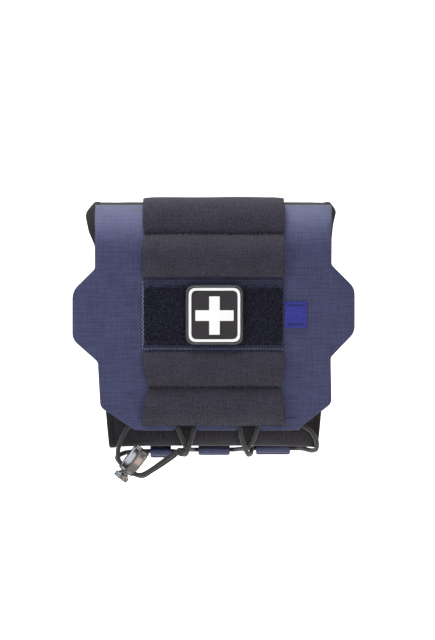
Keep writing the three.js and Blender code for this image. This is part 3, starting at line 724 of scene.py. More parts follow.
def elastic_upper():
    """The upper band, and the (y, z) place of its stitch row."""
    line, row_index = upper_band_line()
    end_index = len(line) - 1

    def half_of(index, z):
        half = ELASTIC_HALF - 0.6 * math.exp(-abs(index - row_index) / 3.0)
        wander = 0.25 * noise.noise(Vector((index * 0.3, 0, 0)))
        return half + wander, half - wander

    def detail(x, s, run, index):
        lift = pucker(x, (index - row_index) * 1.3, 1.0) + pucker(x, (end_index - index) * 1.3, 2.0)
        if index > 20:
            lift += 0.45 * noise.noise(Vector((x * 0.03, index * 0.09, 4)))
            lift -= rim_drop(s) if index < end_index - 2 else 0.0
        return lift

    return elastic_band("elastic_upper_band", line, half_of, detail), line[row_index]


def elastic_lower():
    base = SEWN_Y - ELASTIC_THICK
    line = [(base, -12.8)]
    marks = []
    for high, low in ((-12.8, -36.0), (-36.0, -60.9)):
        line += [(base - bulge(u, CHANNEL_RISE), high + (low - high) * u) for u in spread(0, 1, 24)[1:]]
        marks.append(len(line) - 1)

    def half_of(index, z):
        away = min(abs(z + 36.0) / 20.0, 1.0)
        ease = (away * away * (3 - 2 * away)) ** 0.75
        wander = 0.2 * noise.noise(Vector((index * 0.3, 5, 0)))
        left, right = [narrow + (ELASTIC_HALF - narrow) * ease for narrow in (41.2, 43.0)]
        return left + wander, right - wander

    def detail(x, s, run, index):
        lift = sum(pucker(x, (index - m) * 1.1, m) for m in marks) + pucker(x, index * 1.1, 9.0)
        lift += 0.45 * noise.noise(Vector((x * 0.03, index * 0.09, 8)))
        return lift - (0.0 if index in marks else rim_drop(s))

    return elastic_band("elastic_lower_band", line, half_of, detail)


# ---------------------------------------------------------------- loop field, label and patch

FIELD_HALF, FIELD_LOW, FIELD_HIGH = 44.4, -12.1, 32.2
FIELD_ROWS = (-8.2, 26.2)
PATCH_X, PATCH_Z = 0.6, 9.8


def loop_field():
    """Soft pad with two sewn rows, a pile of small loops and a tape along two edges."""
    rows = []
    for z in spread(FIELD_LOW, FIELD_HIGH, 46):
        row = []
        for x in spread(-FIELD_HALF, FIELD_HALF, 88):
            rim = min(z - FIELD_LOW, FIELD_HIGH - z, FIELD_HALF - abs(x))
            lift = 0.15 + 0.45 * min(1.0, max(0.0, rim - 1.0) / 3.0)
            lift -= sum(0.5 * math.exp(-(((z - line) / 0.9) ** 2)) for line in FIELD_ROWS)
            lift += 0.12 * noise.noise(Vector((x * 0.7, z * 0.7, 2)))
            row.append((x, SEWN_Y - 0.95 - lift, z))
        rows.append(row)
    base = sheet_piece("loop_field_base", rows, 1.25, [LOOP])
    tapes = []
    for place, z0, z1 in (("top", 27.3, FIELD_HIGH), ("bottom", FIELD_LOW, -9.4)):
        outline = rounded_box(-FIELD_HALF, z0, FIELD_HALF, z1, 0.3, 2)
        face = SEWN_Y - 1.25
        tapes.append(flat_piece(f"loop_field_tape_{place}", outline, face - 0.25, face, [NAVY_TAPE], 0.1))
    return base, loop_pile(), tapes


def loop_pile():
    """Small loops of pile, left out under the patch and the tapes."""
    store = empty_store()
    pile_rng = random.Random(31)
    for _ in range(4200):
        x = pile_rng.uniform(-FIELD_HALF + 0.8, FIELD_HALF - 0.8)
        z = pile_rng.uniform(FIELD_LOW + 0.8, FIELD_HIGH - 0.8)
        under_patch = abs(x - PATCH_X) < 17.5 and abs(z - PATCH_Z) < 18.3
        if under_patch or z < -7.5 or z > 25.5:
            continue
        turn = pile_rng.uniform(0, math.pi)
        size = pile_rng.uniform(0.45, 0.85)
        thread = []
        for angle in spread(0, math.pi, 4):
            reach = size * math.cos(angle)
            rise = size * 0.9 * math.sin(angle)
            thread.append((x + reach * math.cos(turn), SEWN_Y - 1.4 - rise, z + reach * math.sin(turn)))
        add_tube(store, thread, 0.12, 3)
    return store_object("loop_field_pile", store, PILE)


def folded_strip(name, start, end, centre, gap, z0, z1, thickness, materials):
    """Strip folded back on itself at its far end, from x start to x end; gap is half its depth."""
    sign = 1 if end > start else -1
    tip = start + sign * (abs(end - start) - gap)
    path = [(x, centre + gap * sign) for x in spread(start, tip, 8)]
    for step in range(1, 8):
        angle = math.pi * (0.5 - step / 8)
        path.append((tip + sign * gap * math.cos(angle), centre + sign * gap * math.sin(angle)))
    path += [(x, centre - gap * sign) for x in spread(tip, start, 8)]
    rows, uv_rows = [], []
    for (x, y), run in zip(path, running(path)):
        zs = spread(z0, z1, 24)
        rows.append([(x, y + 0.12 * noise.noise(Vector((x * 0.12, z * 0.15, 6 + gap))), z) for z in zs])
        uv_rows.append([(run, z) for z in zs])
    return sheet_piece(name, rows, thickness, materials, uv_rows, min(0.12, thickness * 0.3))


def side_label():
    """Folded woven label with its fold at the outer end and plain woven stripes."""
    centre = SEWN_Y - 0.52
    label = folded_strip("label_fold", 44.9, 59.1, centre, 0.46, 1.6, 18.1, 0.3, [LABEL])
    stripes = []
    for index, low in enumerate((3.4, 15.3)):
        outline = rounded_box(47.0, low, 57.6, low + 1.0, 0.2, 2)
        stripes.append(flat_piece(f"label_stripe_{index}", outline, centre - 0.64, centre - 0.3,
                                  [LABEL_DARK]))
    return label, stripes


def patch_box(inset, radius):
    """Outline of the patch, drawn in by an inset."""
    w, h = 36.3 / 2 - inset, 37.8 / 2 - inset
    return rounded_box(PATCH_X - w, PATCH_Z - h, PATCH_X + w, PATCH_Z + h, radius, 8)


def patch_pieces():
    """Rubber patch: hook backing, bevelled base with a rim, raised border and cross."""
    corner = 6.0
    face = SEWN_Y - 1.3 - 0.3
    backing = flat_piece("patch_hook_back", patch_box(0.8, corner - 0.6), face - 1.2, face, [BLACK], 0.2)

    levels = [(0.5, 1.5, 0.4), (0.1, 1.8, 0), (0.0, 2.3, 0), (0.25, 3.1, 0.2), (0.75, 3.6, 0.6),
              (1.2, 3.65, 1.0), (1.45, 3.4, 1.2), (1.6, 3.2, 1.4)]
    loops = [[(x, face - rise, z) for x, z in patch_box(inset, corner - tighter)]
             for inset, rise, tighter in levels]
    count = len(loops[0])
    slots = [0] * count + [1] * count * 5 + [0] * (count + 2)
    uvs = [(x, z) for loop in loops for x, _, z in loop]
    base = looped("patch_moulding", loops, uvs, [RUBBER, RUBBER_RIM], slots, smooth=45)

    low, top = face - 3.15, face - 4.4
    outer, inner = patch_box(1.85, corner - 1.2), patch_box(3.55, corner - 2.4)
    loops = [[(x, y, z) for x, z in loop]
             for loop, y in ((outer, low), (outer, top), (inner, top), (inner, low))]
    uvs = [(x, z) for loop in loops for x, _, z in loop]
    ring = bevelled(looped("patch_ring", loops, uvs, [WHITE], closed=True), 0.3, 3, 60, 60)

    far, near, soft = 12.1, 3.35, 0.3
    quarter = [(-near, -near), (-near, -far), (near, -far)]
    turns = ((1, 0), (0, 1), (-1, 0), (0, -1))
    corners = [(c * x - s * z, s * x + c * z) for c, s in turns for x, z in quarter]
    outline = rounded_polygon([(PATCH_X + x, PATCH_Z - 0.4 + z, soft) for x, z in corners], 3)
    cross = bevelled(flat_piece("patch_emblem", outline, top, low, [WHITE]), 0.3, 3, 60, 60)
    return backing, base, ring, cross


# ---------------------------------------------------------------- cord and lock

CORD_KEYS = [
    (-25.0, -57.05, -77.6), (-32.4, -57.35, -83.1), (-40, -57.65, -88.4), (-45, -57.65, -91.1),
    "near_out", "near_hole", "near_in",
    (-60.5, -57.05, -78.8), (-59.8, -56, -73), (-57, -54.2, -66.2), (-54.2, -53.4, -61.4),
    (-50.6, -53, -60), (-44, -53, -60), (-33, -53, -60), (-26, -53, -60),
    (-22.9, -53.1, -61.8), (-20.8, -51.7, -66.5), (-18.4, -48.4, -72.2), (-17, -41.6, -75.4),
    (-15.8, -28, -75.9), (-14.6, -15, -76.4), (-12.8, -7, -76.7), (-9.6, -5.4, -76.7),
    (0, -5.4, -76.7), (10.2, -5.4, -76.7), (13.6, -6.8, -76.6), (16.4, -14, -76.1),
    (18.6, -27, -75.6), (21, -41.6, -75.2), (23.8, -48.5, -72), (26.6, -51.8, -66.4),
    (28.2, -53.1, -61.6), (30.6, -53, -60), (42, -53, -60), (55.2, -53, -60),
    (58.6, -53.2, -61.4), (62.4, -52.6, -64.6), (65.2, -50.6, -70), (65.2, -46.4, -75),
    (62.6, -38, -76.4), (58.2, -24, -75.7), (56, -13, -75.7), (54, -7.8, -75.8),
    (50.4, -5.4, -75.8), (38, -5.4, -75.8), (26.6, -5.4, -75.8), (24.5, -7.6, -76.1),
    (24.2, -14, -77.6), (23.8, -25, -78.7), (22.8, -36, -79), (21.6, -44.8, -78.2),
    (19.4, -50.8, -73), (17.4, -52.8, -66.5), (16.6, -53.2, -62), (14.4, -53, -60),
    (2, -53, -60), (-9, -53, -60), (-11.8, -53.2, -61.8), (-13.3, -52.8, -66.5),
    (-15.4, -50.8, -73), (-17.4, -44.8, -78.2), (-19.6, -34, -78.9), (-22.4, -20, -78.6),
    (-23.8, -8.8, -78), (-26.6, -5.4, -77.7), (-34, -5.4, -77.7), (-40.8, -5.4, -77.7),
    (-44.2, -7, -77.7), (-47, -14, -77.8), (-50, -28, -77.6), (-53, -41, -77.2),
    (-57.6, -50.2, -78), (-61, -53.4, -80.2),
    "far_in", "far_hole", "far_out",
    (-44.8, -54.35, -92), (-39.4, -54.35, -89), (-31.2, -54.65, -83.8), (-24.1, -54.75, -78.7),
]
LOCK_CENTRE = Vector((-51.9, -56.0, -84.2))
LOCK_TILT = math.radians(52)
HOLE_OFFSET = -3.8
LOCK_DEPTH = 1.15
BRAID_PITCH = 3.2


def cord_key(key):
    """A point of the cord's route; a named one is beside or in the lock's cross hole."""
    if not isinstance(key, str):
        return Vector(key)
    side, place = key.split("_")
    hole = LOCK_CENTRE + Vector((math.cos(LOCK_TILT), 0, math.sin(LOCK_TILT))) * HOLE_OFFSET
    run = Vector((math.sin(LOCK_TILT), 0, -math.cos(LOCK_TILT))) * 6.2
    p = hole + {"in": -run, "hole": Vector(), "out": run}[place]
    p.y = LOCK_CENTRE.y + (-1.65 if side == "near" else 1.65)
    return p


def braid(radius, depth):
    """Radius of a braided sheath by length and angle."""

    def profile(travelled, angle):
        twist = 2 * math.pi * travelled / BRAID_PITCH
        return radius + depth * math.sin(4 * angle + twist) * math.sin(4 * angle - twist)

    return profile


def shock_cord():
    """The cord, with its path and its length in metres."""
    keys = [cord_key(key) for key in CORD_KEYS]
    path = resample(catmull(keys, 10), 0.45)
    store = add_tube(empty_store(), path, CORD_RADIUS, 16, braid(1.44, 0.06))
    obj = store_object("shock_cord_braid", store, CORD)
    return obj, [tuple(p * MM) for p in path], running(path)[-1] * MM


def end_knot():
    """Overhand knot in the doubled cord, with both ends cut short."""
    centre = Vector((-20.3, -55.8, -76.6))
    loop = []
    for t in spread(0, 2 * math.pi, 90)[:-1]:
        x = (math.sin(t) + 1.7 * math.sin(2 * t)) * 0.82
        z = (math.cos(t) - 1.7 * math.cos(2 * t)) * 0.74
        loop.append(centre + Vector((x, -math.sin(3 * t) * 1.1, z)))
    sheath = braid(1.2, 0.05)
    store = add_tube(empty_store(), loop, 1.4, 14, sheath, True)
    for lead in (((-24.6, -57.0, -77.5), (-22.6, -56.8, -76.9)),
                 ((-23.9, -54.8, -78.6), (-22.0, -55.0, -77.4))):
        add_tube(store, resample(lead, 0.4), 1.4, 14, sheath)
    return store_object("cord_knot", store, CORD)


def flats(obj, inner, outer):
    """Gives a turned piece six soft flats, fading in between two radii, with a ridge to the front."""
    for v in obj.data.vertices:
        x, z = v.co.x / MM, v.co.z / MM / LOCK_DEPTH
        share = min(max((math.hypot(x, z) - inner) / (outer - inner), 0.0), 1.0)
        within = math.atan2(x, z) % (math.pi / 3) - math.pi / 6
        flat = min(math.cos(math.pi / 6) / math.cos(within), 0.97)
        v.co.x *= 1 + (flat * 1.14 - 1) * share
        v.co.z *= 1 + (flat - 1) * share
    return obj


def lock_piece(name, profile, inner, outer, slot_low, slot_high, slot_depth):
    """Turned lock part with flats and a cross slot for the cord, on the lock's tilted axis."""
    obj = flats(lathe(name, profile, PLASTIC, 60, LOCK_DEPTH), inner, outer)
    cutter_mesh = bpy.data.meshes.new("slot_cutter")
    with edited(cutter_mesh) as bm:
        bmesh.ops.create_cube(bm, size=1.0)
        for v in bm.verts:
            v.co.x *= 30 * MM
            v.co.y = ((slot_low + slot_high) / 2 + v.co.y * (slot_high - slot_low)) * MM
            v.co.z *= slot_depth * MM
        edges = [e for e in bm.edges if abs(e.verts[0].co.x - e.verts[1].co.x) > 20 * MM]
        bmesh.ops.bevel(bm, geom=edges, offset=1.3 * MM, segments=5, affect="EDGES", profile=0.5)
    subtract(obj, make_object("slot_cutter", cutter_mesh), 38)
    turn = Matrix.Rotation(math.pi / 2 - LOCK_TILT, 4, "Y") @ Matrix.Rotation(math.pi / 2, 4, "X")
    obj.data.transform(Matrix.Translation(LOCK_CENTRE * MM) @ turn)
    obj.data.update()
    return obj


def lock_barrel():
    top, radius, mouth, bore, half = 12.0, 5.6, -6.6, 4.2, 1.9
    profile = [
        (bore, mouth + 0.2), (bore + 0.15, mouth), (radius - 1.0, mouth), (radius - 0.5, mouth + 0.25),
        (radius - 0.12, mouth + 0.7), (radius - 0.05, mouth + 1.3), (radius - 0.3, mouth + 1.6),
        (radius - 0.3, mouth + 2.0), (radius, mouth + 2.3), (radius, 2.0), (radius, top - 2.6),
        (radius - 0.35, top - 2.3), (radius - 0.35, top - 1.9), (radius, top - 1.6),
        (radius - 0.15, top - 0.9), (radius - 0.6, top - 0.35), (radius - 1.3, top - 0.05),
        (radius - 2.2, top), (2.0, top - 0.25), (0, top - 0.25), (0, top - 2.0), (bore, top - 2.0),
        (bore, mouth + 0.2),
    ]
    return lock_piece("lock_barrel_body", profile, bore, radius, HOLE_OFFSET - half, HOLE_OFFSET + half, 7.4)


def lock_plunger():
    low, radius, mouth, head = -12.0, 3.9, -6.6, 5.0
    profile = [
        (0, low + 0.2), (2.6, low + 0.2), (3.0, low), (head - 0.9, low), (head - 0.3, low + 0.2),
        (head, low + 0.7), (head, low + 1.3), (head - 0.25, low + 1.5), (head - 0.25, low + 1.8),
        (head, low + 2.0), (head, low + 2.8), (head - 0.3, low + 3.3), (radius, low + 3.3),
        (radius - 0.3, low + 3.6), (radius - 0.3, mouth - 0.5), (radius, mouth + 0.1), (radius, 2.6),
        (radius - 0.4, 3.0), (0, 3.0),
    ]
    high = HOLE_OFFSET + 1.8
    return lock_piece("lock_plunger_body", profile, radius + 0.2, head, high - 5.6, high, 6.5)


# ---------------------------------------------------------------- roll

ROLL_LEFT = [(-65.4, -74.2), (-68, -45), (-73, 50), (-75.6, 57), (-78.2, 62.8), (-80.6, 74.1),
             (-79.5, 76.7), (-74.8, 83)]
ROLL_RIGHT = [(65.4, -74.2), (68, -45), (73, 50), (75, 68), (77.2, 76.6), (73.4, 83)]
ROLL_COLUMNS = 72
BINDING = [(-3.4, 0.12), (-2.4, 0.42), (-1.0, 0.45), (0.1, 0.4), (0.75, -0.1), (0.95, -0.85),
           (0.75, -1.6), (0.1, -2.1), (-1.0, -2.15), (-2.4, -2.12), (-3.4, -1.8)]


def eased_x(z, edge):
    """X of a roll edge at height z, with its corners eased."""
    return sum(edge_x(z + offset, edge) for offset in (-1.2, -0.4, 0.4, 1.2)) / 4


def roll_profile():
    """Side view of the wrap, from below its rear slit, round the front, to above the slit."""
    points = [(-4.2, -30.8), (-4.2, -50.0)]
    points += arc(-10.2, -67.2, 6, 0, -90, 6)
    points += [(-20, -73.2), (-30, -73.2)]
    points += arc(-39, -63.6, 9.6, 270, 180, 9)
    points += [(-48.9, -57), (-51.2, -51), (-54, -44), (-55.2, -36), (-55.2, 0)]
    points += arc(-19, 45.8, 36.2, 180, 90, 24)
    points += arc(-12.2, 74, 8, 90, 0, 8)
    points += [(-4.2, 40), (-4.2, 0), (-4.2, -29.2)]
    return [(p.y, p.z) for p in resample([(0, y, z) for y, z in points], 2.2)]


def roll_lift(x, run, y, z):
    """Unevenness of the wrap, freest below the front panel."""
    free = min(1.0, max(0.0, (-52 - z) / 12)) if y < -40 else 0.3
    slow = noise.noise(Vector((x * 0.028, run * 0.03, 1.7)))
    quick = noise.noise(Vector((x * 0.09, run * 0.07, 5.1)))
    lift = (0.25 + 0.75 * free) * (0.7 * slow + 0.35 * quick)
    if z < -71:
        return min(lift + 0.9 * (x / 65) ** 4, 1.1)
    return min(lift, 0.5)


def roll_rows():
    path = roll_profile()

    def xs_of(index, z):
        return [(0, x) for x in spread(eased_x(z, ROLL_LEFT), eased_x(z, ROLL_RIGHT), ROLL_COLUMNS)]

    def lift_of(x, s, run, index):
        return roll_lift(x, run, *path[index])

    return lifted_rows(path, -1, xs_of, lift_of)


def roll_binding(place, side, rows, uv_rows):
    """Tape folded over one side edge of the wrap, all the way round."""
    loops, uvs = [], []
    middle = ROLL_COLUMNS // 2
    for i, row in enumerate(rows):
        edge = Vector(row[0] if side < 0 else row[-1])
        along = Vector(rows[min(i + 1, len(rows) - 1)][middle]) - Vector(rows[max(i - 1, 0)][middle])
        out = Vector((1, 0, 0)).cross(along).normalized()
        loops.append([edge + Vector((side, 0, 0)) * a + out * b for a, b in BINDING[::-side]])
        uvs += [(k * 1.1, uv_rows[i][0][1]) for k in range(len(BINDING))]
    return looped(f"roll_binding_{place}", loops, uvs, [TAPE], smooth=60)


def puffed(obj):
    """Points of the pack after a short cloth simulation with pressure inside."""
    cloth = obj.modifiers.new("pressure", "CLOTH")
    for key, value in {"quality": 5, "mass": 0.2, "use_pressure": True, "uniform_pressure_force": 4.0,
                       "tension_stiffness": 12, "compression_stiffness": 12,
                       "bending_stiffness": 0.6}.items():
        setattr(cloth.settings, key, value)
    cloth.settings.effector_weights.gravity = 0.0
    cloth.point_cache.frame_start = 1
    cloth.point_cache.frame_end = 20
    for number in range(1, 21):
        bpy.context.scene.frame_set(number)
    apply_modifiers(obj)
    bpy.context.scene.frame_set(1)
    return [v.co.copy() for v in obj.data.vertices]


def padded_pack(name, outline, half=62.5, crown=1.6):
    """Soft pack from a Y-Z outline: remeshed, then puffed out by a cloth simulation."""
    points = [(x, y, z) for x in (-half, half) for y, z in outline]
    mesh = mesh_from(name, points, loop_faces(2, len(outline)))
    with edited(mesh) as bm:
        bmesh.ops.recalc_face_normals(bm, faces=bm.faces)
        bmesh.ops.bevel(bm, geom=bm.edges[:], offset=4 * MM, segments=3, affect="EDGES", profile=0.5)
    obj = modified(make_object(name, mesh, GAUZE), "REMESH", mode="VOXEL", voxel_size=4.5 * MM)
    rest = [v.co.copy() for v in obj.data.vertices]
    moved = puffed(obj)
    middle = sum(rest, Vector()) / len(rest)
    for v, start, end in zip(obj.data.vertices, rest, moved):
        step = end - start
        if step.length > crown * MM:
            step = step.normalized() * crown * MM
        p = start + step
        crease = noise.noise(Vector((p.x * 35, p.y * 60, p.z * 55)))
        crease += 0.5 * noise.noise(Vector((p.x * 110, p.y * 90, p.z * 160)))
        v.co = p + (middle - p).normalized() * (0.0012 + 0.0011 * crease)
    modified(obj, "SUBSURF", levels=1, render_levels=1)
    for polygon in obj.data.polygons:
        polygon.use_smooth = True
    return obj


# ---------------------------------------------------------------- back and straps

BACK_BOTTOM = -71.5
BACK_TUNNEL_Y = -5.4
BACK_TABS = [("left", -40.7, -27.4), ("centre", -9.8, 10.4), ("right", 27.2, 49.2)]
TAB_BOTTOMS = {"left": -82.0, "centre": -80.4, "right": -80.0}
TUNNEL_Z = {"left": -77.7, "centre": -76.7, "right": -75.8}
STRAP_X = 30.0
STRAP_HALF = 12.5
SNAP_Z = -46
STUD = [(0, 0), (4.9, 0), (5.2, 0.25), (5.1, 0.7), (4.4, 0.95), (2.3, 1.05), (2.0, 1.4), (2.2, 1.9),
        (2.2, 2.25), (1.9, 2.5), (0, 2.5)]
SOCKET = [(0, 2), (2.4, 2), (2.6, 1.7), (2.6, 0.2), (2.8, 0), (5.1, 0), (5.4, 0.3), (5.4, 1.4),
          (5.0, 2.4), (4.4, 2.9), (1.8, 2.9), (1.8, 5.3), (5.6, 5.3), (6.0, 5.6), (5.8, 6.1),
          (4.9, 6.55), (3.2, 6.8), (1.5, 6.88), (0, 6.9)]


def back_panel():
    corners = [(-71, 79, 5), (-71, -44, 8), (-56, BACK_BOTTOM, 4)]
    for side, left, right in BACK_TABS:
        end = TAB_BOTTOMS[side]
        corners += [(left, BACK_BOTTOM, 1), (left, end, 1.5), (right, end, 1.5), (right, BACK_BOTTOM, 1)]
    corners += [(56, BACK_BOTTOM, 4), (71, -44, 8), (71, 79, 5)]
    outline = rounded_polygon(corners, 6)
    return flat_piece("back_panel_fabric", outline, -2.0, 0.0, [NAVY, NAVY_EDGE], 0.25)


def strap(side, sign):
    """Webbing strap from its anchor down to the snap, standing off the back."""
    curve = [(1.6, 42.2), (2.2, 40), (4.2, 36.5), (5.9, 33), (6.4, 29), (6.4, 0), (6.4, -30),
             (5.9, -34), (5.6, -38), (5.6, -46), (5.6, -55)]
    line = resample(catmull([(0, y, z) for y, z in curve], 6), 1.6)
    rows = []
    for index, p in enumerate(line):
        run = (line[min(index + 1, len(line) - 1)] - line[max(index - 1, 0)]).normalized()
        out = Vector((0, -run.z, run.y))
        end = max(0.0, 1.0 - (p.z + 55) / 3.5)
        half = STRAP_HALF - 2.2 * end * end
        row = []
        for s in spread(-1, 1, 20):
            edge = 0.25 * max(0.0, (abs(s) - 0.88) / 0.12) ** 2
            wave = 0.12 * noise.noise(Vector((s * 1.5, p.z * 0.05, sign)))
            row.append(tuple(Vector((STRAP_X * sign + half * s, p.y, p.z)) + out * (0.8 - edge + wave)))
        rows.append(row)
    uv_rows = [[(x[0], -p.z) for x in row] for row, p in zip(rows, line)]
    return sheet_piece(f"strap_webbing_{side}", rows, 1.6, [WEBBING], uv_rows)


def snap_half(name, profile, sign, y):
    obj = lathe(name, profile, STEEL)
    obj.data.transform(Matrix.Translation(Vector((STRAP_X * sign, y, SNAP_Z)) * MM))
    return obj


# ---------------------------------------------------------------- pieces of the front cover


def use(piece, body=None, slot=None, *nodes):
    """Says which CAD nodes a piece stands for and which body it rides on; the slot argument is not used."""
    if nodes:
        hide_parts(*nodes)
    if body:
        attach(piece, body)
    return piece


panel = use(front_panel(), "front_cover", "navy_laminate", "front_panel")
upper_band, row_point = elastic_upper()
use(upper_band, None, "elastic", "elastic_upper", "elastic_tail")
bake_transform(upper_band)
lower_band = use(elastic_lower(), "front_cover", "elastic", "elastic_lower")
loop_base, pile, loop_tapes = loop_field()
use(loop_base, "front_cover", "loop_pile", "loop_field")
for piece in (pile, *loop_tapes):
    use(piece, "front_cover", "loop_pile")
label, label_stripes = side_label()
use(label, "front_cover", "blue_label", "side_label")
for piece in label_stripes:
    use(piece, "front_cover")
front_hems = [use(hem_tunnel(f"front_hem_{s}", a, b, FRONT_TUNNEL, 1.02), "front_cover",
                  "navy_laminate", f"front_tunnel_{s}") for s, a, b in FRONT_TUNNELS]

thread = empty_store()
row_tilt = math.radians(ROW_ANGLE)
for offset in (0.0, 1.3):
    add_level_row(thread, 44.2, row_point[0] - 0.12 - offset * 0.35, row_point[1] + offset * 0.9 - 0.6,
                  (0, -math.cos(row_tilt), math.sin(row_tilt)), 2.4, 1.9, 0.2, 0.0)
for half, y, level in ((40.6, -60.2, -36.6), (40.6, -60.2, -35.4), (44, -60.3, -12.6),
                       (44, -60.3, -60.2), (44, -60.3, 33.1)):
    add_level_row(thread, half, y, level, FORWARD, 2.4, 1.9, 0.2, 0.0)
for level in FIELD_ROWS:
    add_level_row(thread, 43.6, -59.5, level, FORWARD, 2.5, 2.0, 0.2)
use(store_object("band_stitches", thread, THREAD), "front_cover")

for name, x, y, radius, level, material in (
        ("field_edge_zigzag", -44.5, -59.3, 0.16, -11.7, THREAD_PALE),
        ("field_edge_thread", 44.2, -59.4, 0.18, 31.8, THREAD_NAVY)):
    thread = empty_store()
    add_zigzag(thread, (x, y, -11.4), (x, y, 31.6), FORWARD, (1, 0, 0), 1.1, 1.3, radius)
    add_level_row(thread, 44.2, -59.75, level, FORWARD, 1.9, 1.3, 0.16)
    use(store_object(name, thread, material), "front_cover")

thread = empty_store()
for x, z, tilt in ((-43.0, 26.4, 0.6), (43.2, 26.0, -0.5), (-42.6, -8.2, -0.4), (42.8, -8.4, 0.5)):
    tail = [(x, -60.1, z), (x + tilt, -60.5, z + 0.8), (x + tilt * 2.2, -60.4, z + 1.9)]
    add_tube(thread, resample(catmull(tail, 4), 0.3), 0.14, 5)
use(store_object("thread_ends", thread, THREAD_NAVY), "front_cover")

thread = empty_store()
for tunnels, y, z in ((FRONT_TUNNELS, FRONT_Y, -55.2), (BACK_TABS, -2.0, -73.6)):
    for _, a, b in tunnels:
        add_stitches(thread, [(a + 1, y, z), (b - 1, y, z)], FORWARD, 2.6, 2.0, 0.2)
use(store_object("hem_stitches", thread, THREAD), "front_cover")

hook_back, moulding, ring, emblem = patch_pieces()
use(hook_back, "patch", "black_fabric", "patch_hook_backing")
use(moulding, "patch", "patch_rubber", "patch_base")
use(ring, "patch", "patch_white", "patch_border")
use(emblem, "patch", "patch_white", "patch_cross")

# ---------------------------------------------------------------- pieces of the carrier and straps

back = use(back_panel(), "carrier", "navy_laminate", "back_panel")
for side, a, b in BACK_TABS:
    use(hem_tunnel(f"back_hem_{side}", a, b, (BACK_TUNNEL_Y, TUNNEL_Z[side]), 2.12), "carrier",
        "navy_laminate", f"back_tunnel_{side}")

thread = empty_store()
for x in (-44.0, 44.0):
    add_stitches(thread, [(x, 2.1, 54), (x, 2.1, 78)], BACKWARD)
for level in (54, 56.5):
    add_level_row(thread, 44, 2.1, level, BACKWARD)
use(store_object("tail_stitches", thread, THREAD), "carrier")

for side, sign in SIDES:
    x = STRAP_X * sign
    outline = rounded_box(x - STRAP_HALF, 46.5, x + STRAP_HALF, 51.4, 0.8)
    use(flat_piece(f"anchor_webbing_{side}", outline, 0.3, 1.9, [WEBBING], 0.3), "carrier",
        "black_fabric", f"strap_anchor_{side}")
    thread = empty_store()
    for z in (48, 50):
        add_zigzag(thread, (x - 11.4, 1.9, z), (x + 11.4, 1.9, z), BACKWARD, (0, 0, 1), 1.6, 0.9)
    use(store_object(f"anchor_stitches_{side}", thread, THREAD), "carrier")
    use(strap(side, sign), f"strap_body_{side}", "black_fabric", f"strap_{side}")
    thread = empty_store()
    for edge in (x - 10.6, x + 10.6):
        add_stitches(thread, [(edge, 7.2, -28), (edge, 7.2, 28)], BACKWARD)
    use(store_object(f"strap_stitches_{side}", thread, THREAD), f"strap_body_{side}")
    use(snap_half(f"snap_stud_metal_{side}", STUD, sign, 0.3), "carrier", "snap_metal",
        f"snap_stud_{side}")
    use(snap_half(f"snap_cap_metal_{side}", SOCKET, sign, 1.6), f"strap_body_{side}", "snap_metal",
        f"snap_socket_{side}")

# ---------------------------------------------------------------- pieces of the roll

rows, uv_rows = roll_rows()
wrap = use(sheet_piece("roll_wrap_shell", rows, 1.7, [BLACK], uv_rows, 0.5), "roll", "black_fabric",
           "roll_wrap")
for side, sign in SIDES:
    use(roll_binding(side, sign, rows, uv_rows), "roll", "black_fabric")
# Thin tube along the roll's bottom front edge: the hem edge is real shape, and its pale colour is a painted
# highlight line on that hem.
painted_highlight_path = [(x, -41.8 + 0.25 * math.sin(x * 0.11), -72.85 - 0.9 * (x / 65) ** 4)
               for x in range(-64, 65, 2)]
use(store_object("roll_piping_painted_highlight", add_tube(empty_store(), painted_highlight_path, 0.5, 8), PAINTED_HIGHLIGHT_PIPING), "roll",
    "black_fabric")
liner = use(flat_piece("liner_cloth", rounded_box(-64, -68, 64, 76, 5), -30.1, -28.7, [BLACK, TAPE], 0.3),
            "roll", "black_fabric", "roll_liner")
PACKS = {
    "upper": [(-52.4, 7)] + arc(-19, 45.8, 33.4, 180, 111, 7) + [(-31.0, 7)],
    "lower": [(-31.0, 4), (-31.0, -70.4), (-39.5, -70.4), (-44.2, -68), (-46.2, -63), (-46.5, -57),
              (-48.8, -50.6), (-51.4, -43.6), (-52.4, -35), (-52.4, 4)],
    "rear": [(-27.8, 73.5), (-27.8, -65.5), (-7.2, -65.5), (-7.2, 73.5)],
}
packs = [use(padded_pack(f"soft_pack_{place}", outline), "roll", "soft_pack", f"roll_pack_{place}")
         for place, outline in PACKS.items()]
for side, sign in SIDES:
    tab = folded_strip(f"pull_tab_fold_{side}", 64.4 * sign, 87.7 * sign, -29.4, 1.45, -1.0, 24.0, 1.3,
                       [WEBBING])
    use(tab, "roll", "black_fabric", f"pull_tab_{side}")
    thread = empty_store()
    corners = [(68, 2), (80, 2), (80, 21), (68, 21), (68, 2)]
    for (xa, za), (xb, zb) in zip(corners, corners[1:]):
        for y, normal in ((-30.95, FORWARD), (-27.85, BACKWARD)):
            add_stitches(thread, [(xa * sign, y, za), (xb * sign, y, zb)], normal)
    use(store_object(f"tab_stitches_{side}", thread, THREAD), "roll")

# ---------------------------------------------------------------- cord and lock pieces

cord, cord_path, cord_length = shock_cord()
use(cord, None, "cord_sheath", "shock_cord")
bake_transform(cord)
knot = use(end_knot(), "front_cover", "cord_sheath", "cord_end_knot")
barrel = use(lock_barrel(), "cord_lock", "lock_plastic", "lock_barrel")
plunger = use(lock_plunger(), "lock_plunger", "lock_plastic", "lock_button")
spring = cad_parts["lock_spring"]
spring.data.materials.clear()
spring.data.materials.append(STEEL)

# ---------------------------------------------------------------- soft rows


# ---------------------------------------------------------------- studio


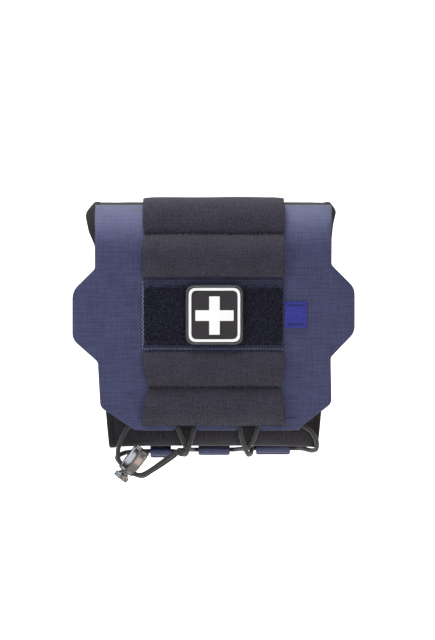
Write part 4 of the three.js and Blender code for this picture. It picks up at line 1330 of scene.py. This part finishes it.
def cove():
    """Seamless pale floor that glows from behind the pouch on and turns up into the backdrop."""
    floor = -0.30
    profile = [(y, floor) for y in (-7.0, -1.0, 1.3)] + arc(3.5, floor + 1.0, 1.0, -90, 0, 12) + [(4.5, 9.0)]
    points = [(x, y / MM, z / MM) for y, z in profile for x in (-9000, 9000)]
    faces = [(k, k + 1, k + 3, k + 2) for k in range(0, len(points) - 2, 2)]
    slots = [1] * 2 + [0] * (len(faces) - 2)
    mesh = mesh_from("studio_cove", points, faces, None, slots)
    return make_object("studio_cove", mesh, lit_white("studio_backdrop", 1.0),
                       lit_white("studio_floor", 0.05))


def soft_light(name, place, aim, size, power, colour=(1, 1, 1)):
    lamp = bpy.data.lights.new(name, "AREA")
    lamp.shape = "RECTANGLE"
    lamp.size, lamp.size_y = size
    lamp.energy = power
    lamp.color = colour
    obj = make_object(name, lamp)
    obj.location = place
    obj.rotation_euler = (Vector(aim) - Vector(place)).to_track_quat("-Z", "Y").to_euler()


cove()
soft_light("key_top", (-0.15, -0.12, 1.35), (0, -0.03, 0.03), (1.1, 0.3), 18)
soft_light("softbox_left", (-0.75, -0.58, 0.48), (-0.05, -0.05, -0.08), (0.4, 0.6), 3.8, (0.86, 0.92, 1))
soft_light("fill_front", (0.2, -2.3, 0.3), (0, 0, 0), (1.4, 0.8), 9.5)
soft_light("bounce_warm", (0.22, -0.26, -0.25), (-0.052, -0.056, -0.084), (0.16, 0.12), 0.2,
           (1, 0.70, 0.50))

world = bpy.data.worlds.new("studio")
world.use_nodes = True
background = world.node_tree.nodes["Background"].inputs
background["Color"].default_value = (1, 1, 1, 1)
background["Strength"].default_value = 0.16
scene = bpy.context.scene
scene.world = world
scene.view_settings.view_transform = "Standard"
scene.view_settings.look = "None"

lens = bpy.data.cameras.new("camera")
lens.sensor_fit = "VERTICAL"
lens.sensor_height = 24
lens.lens = 178
camera = make_object("camera", lens)
camera.location = (0.0025, -3.058, 0.0066)
camera.rotation_euler = (math.radians(90), 0, 0)
scene.camera = camera
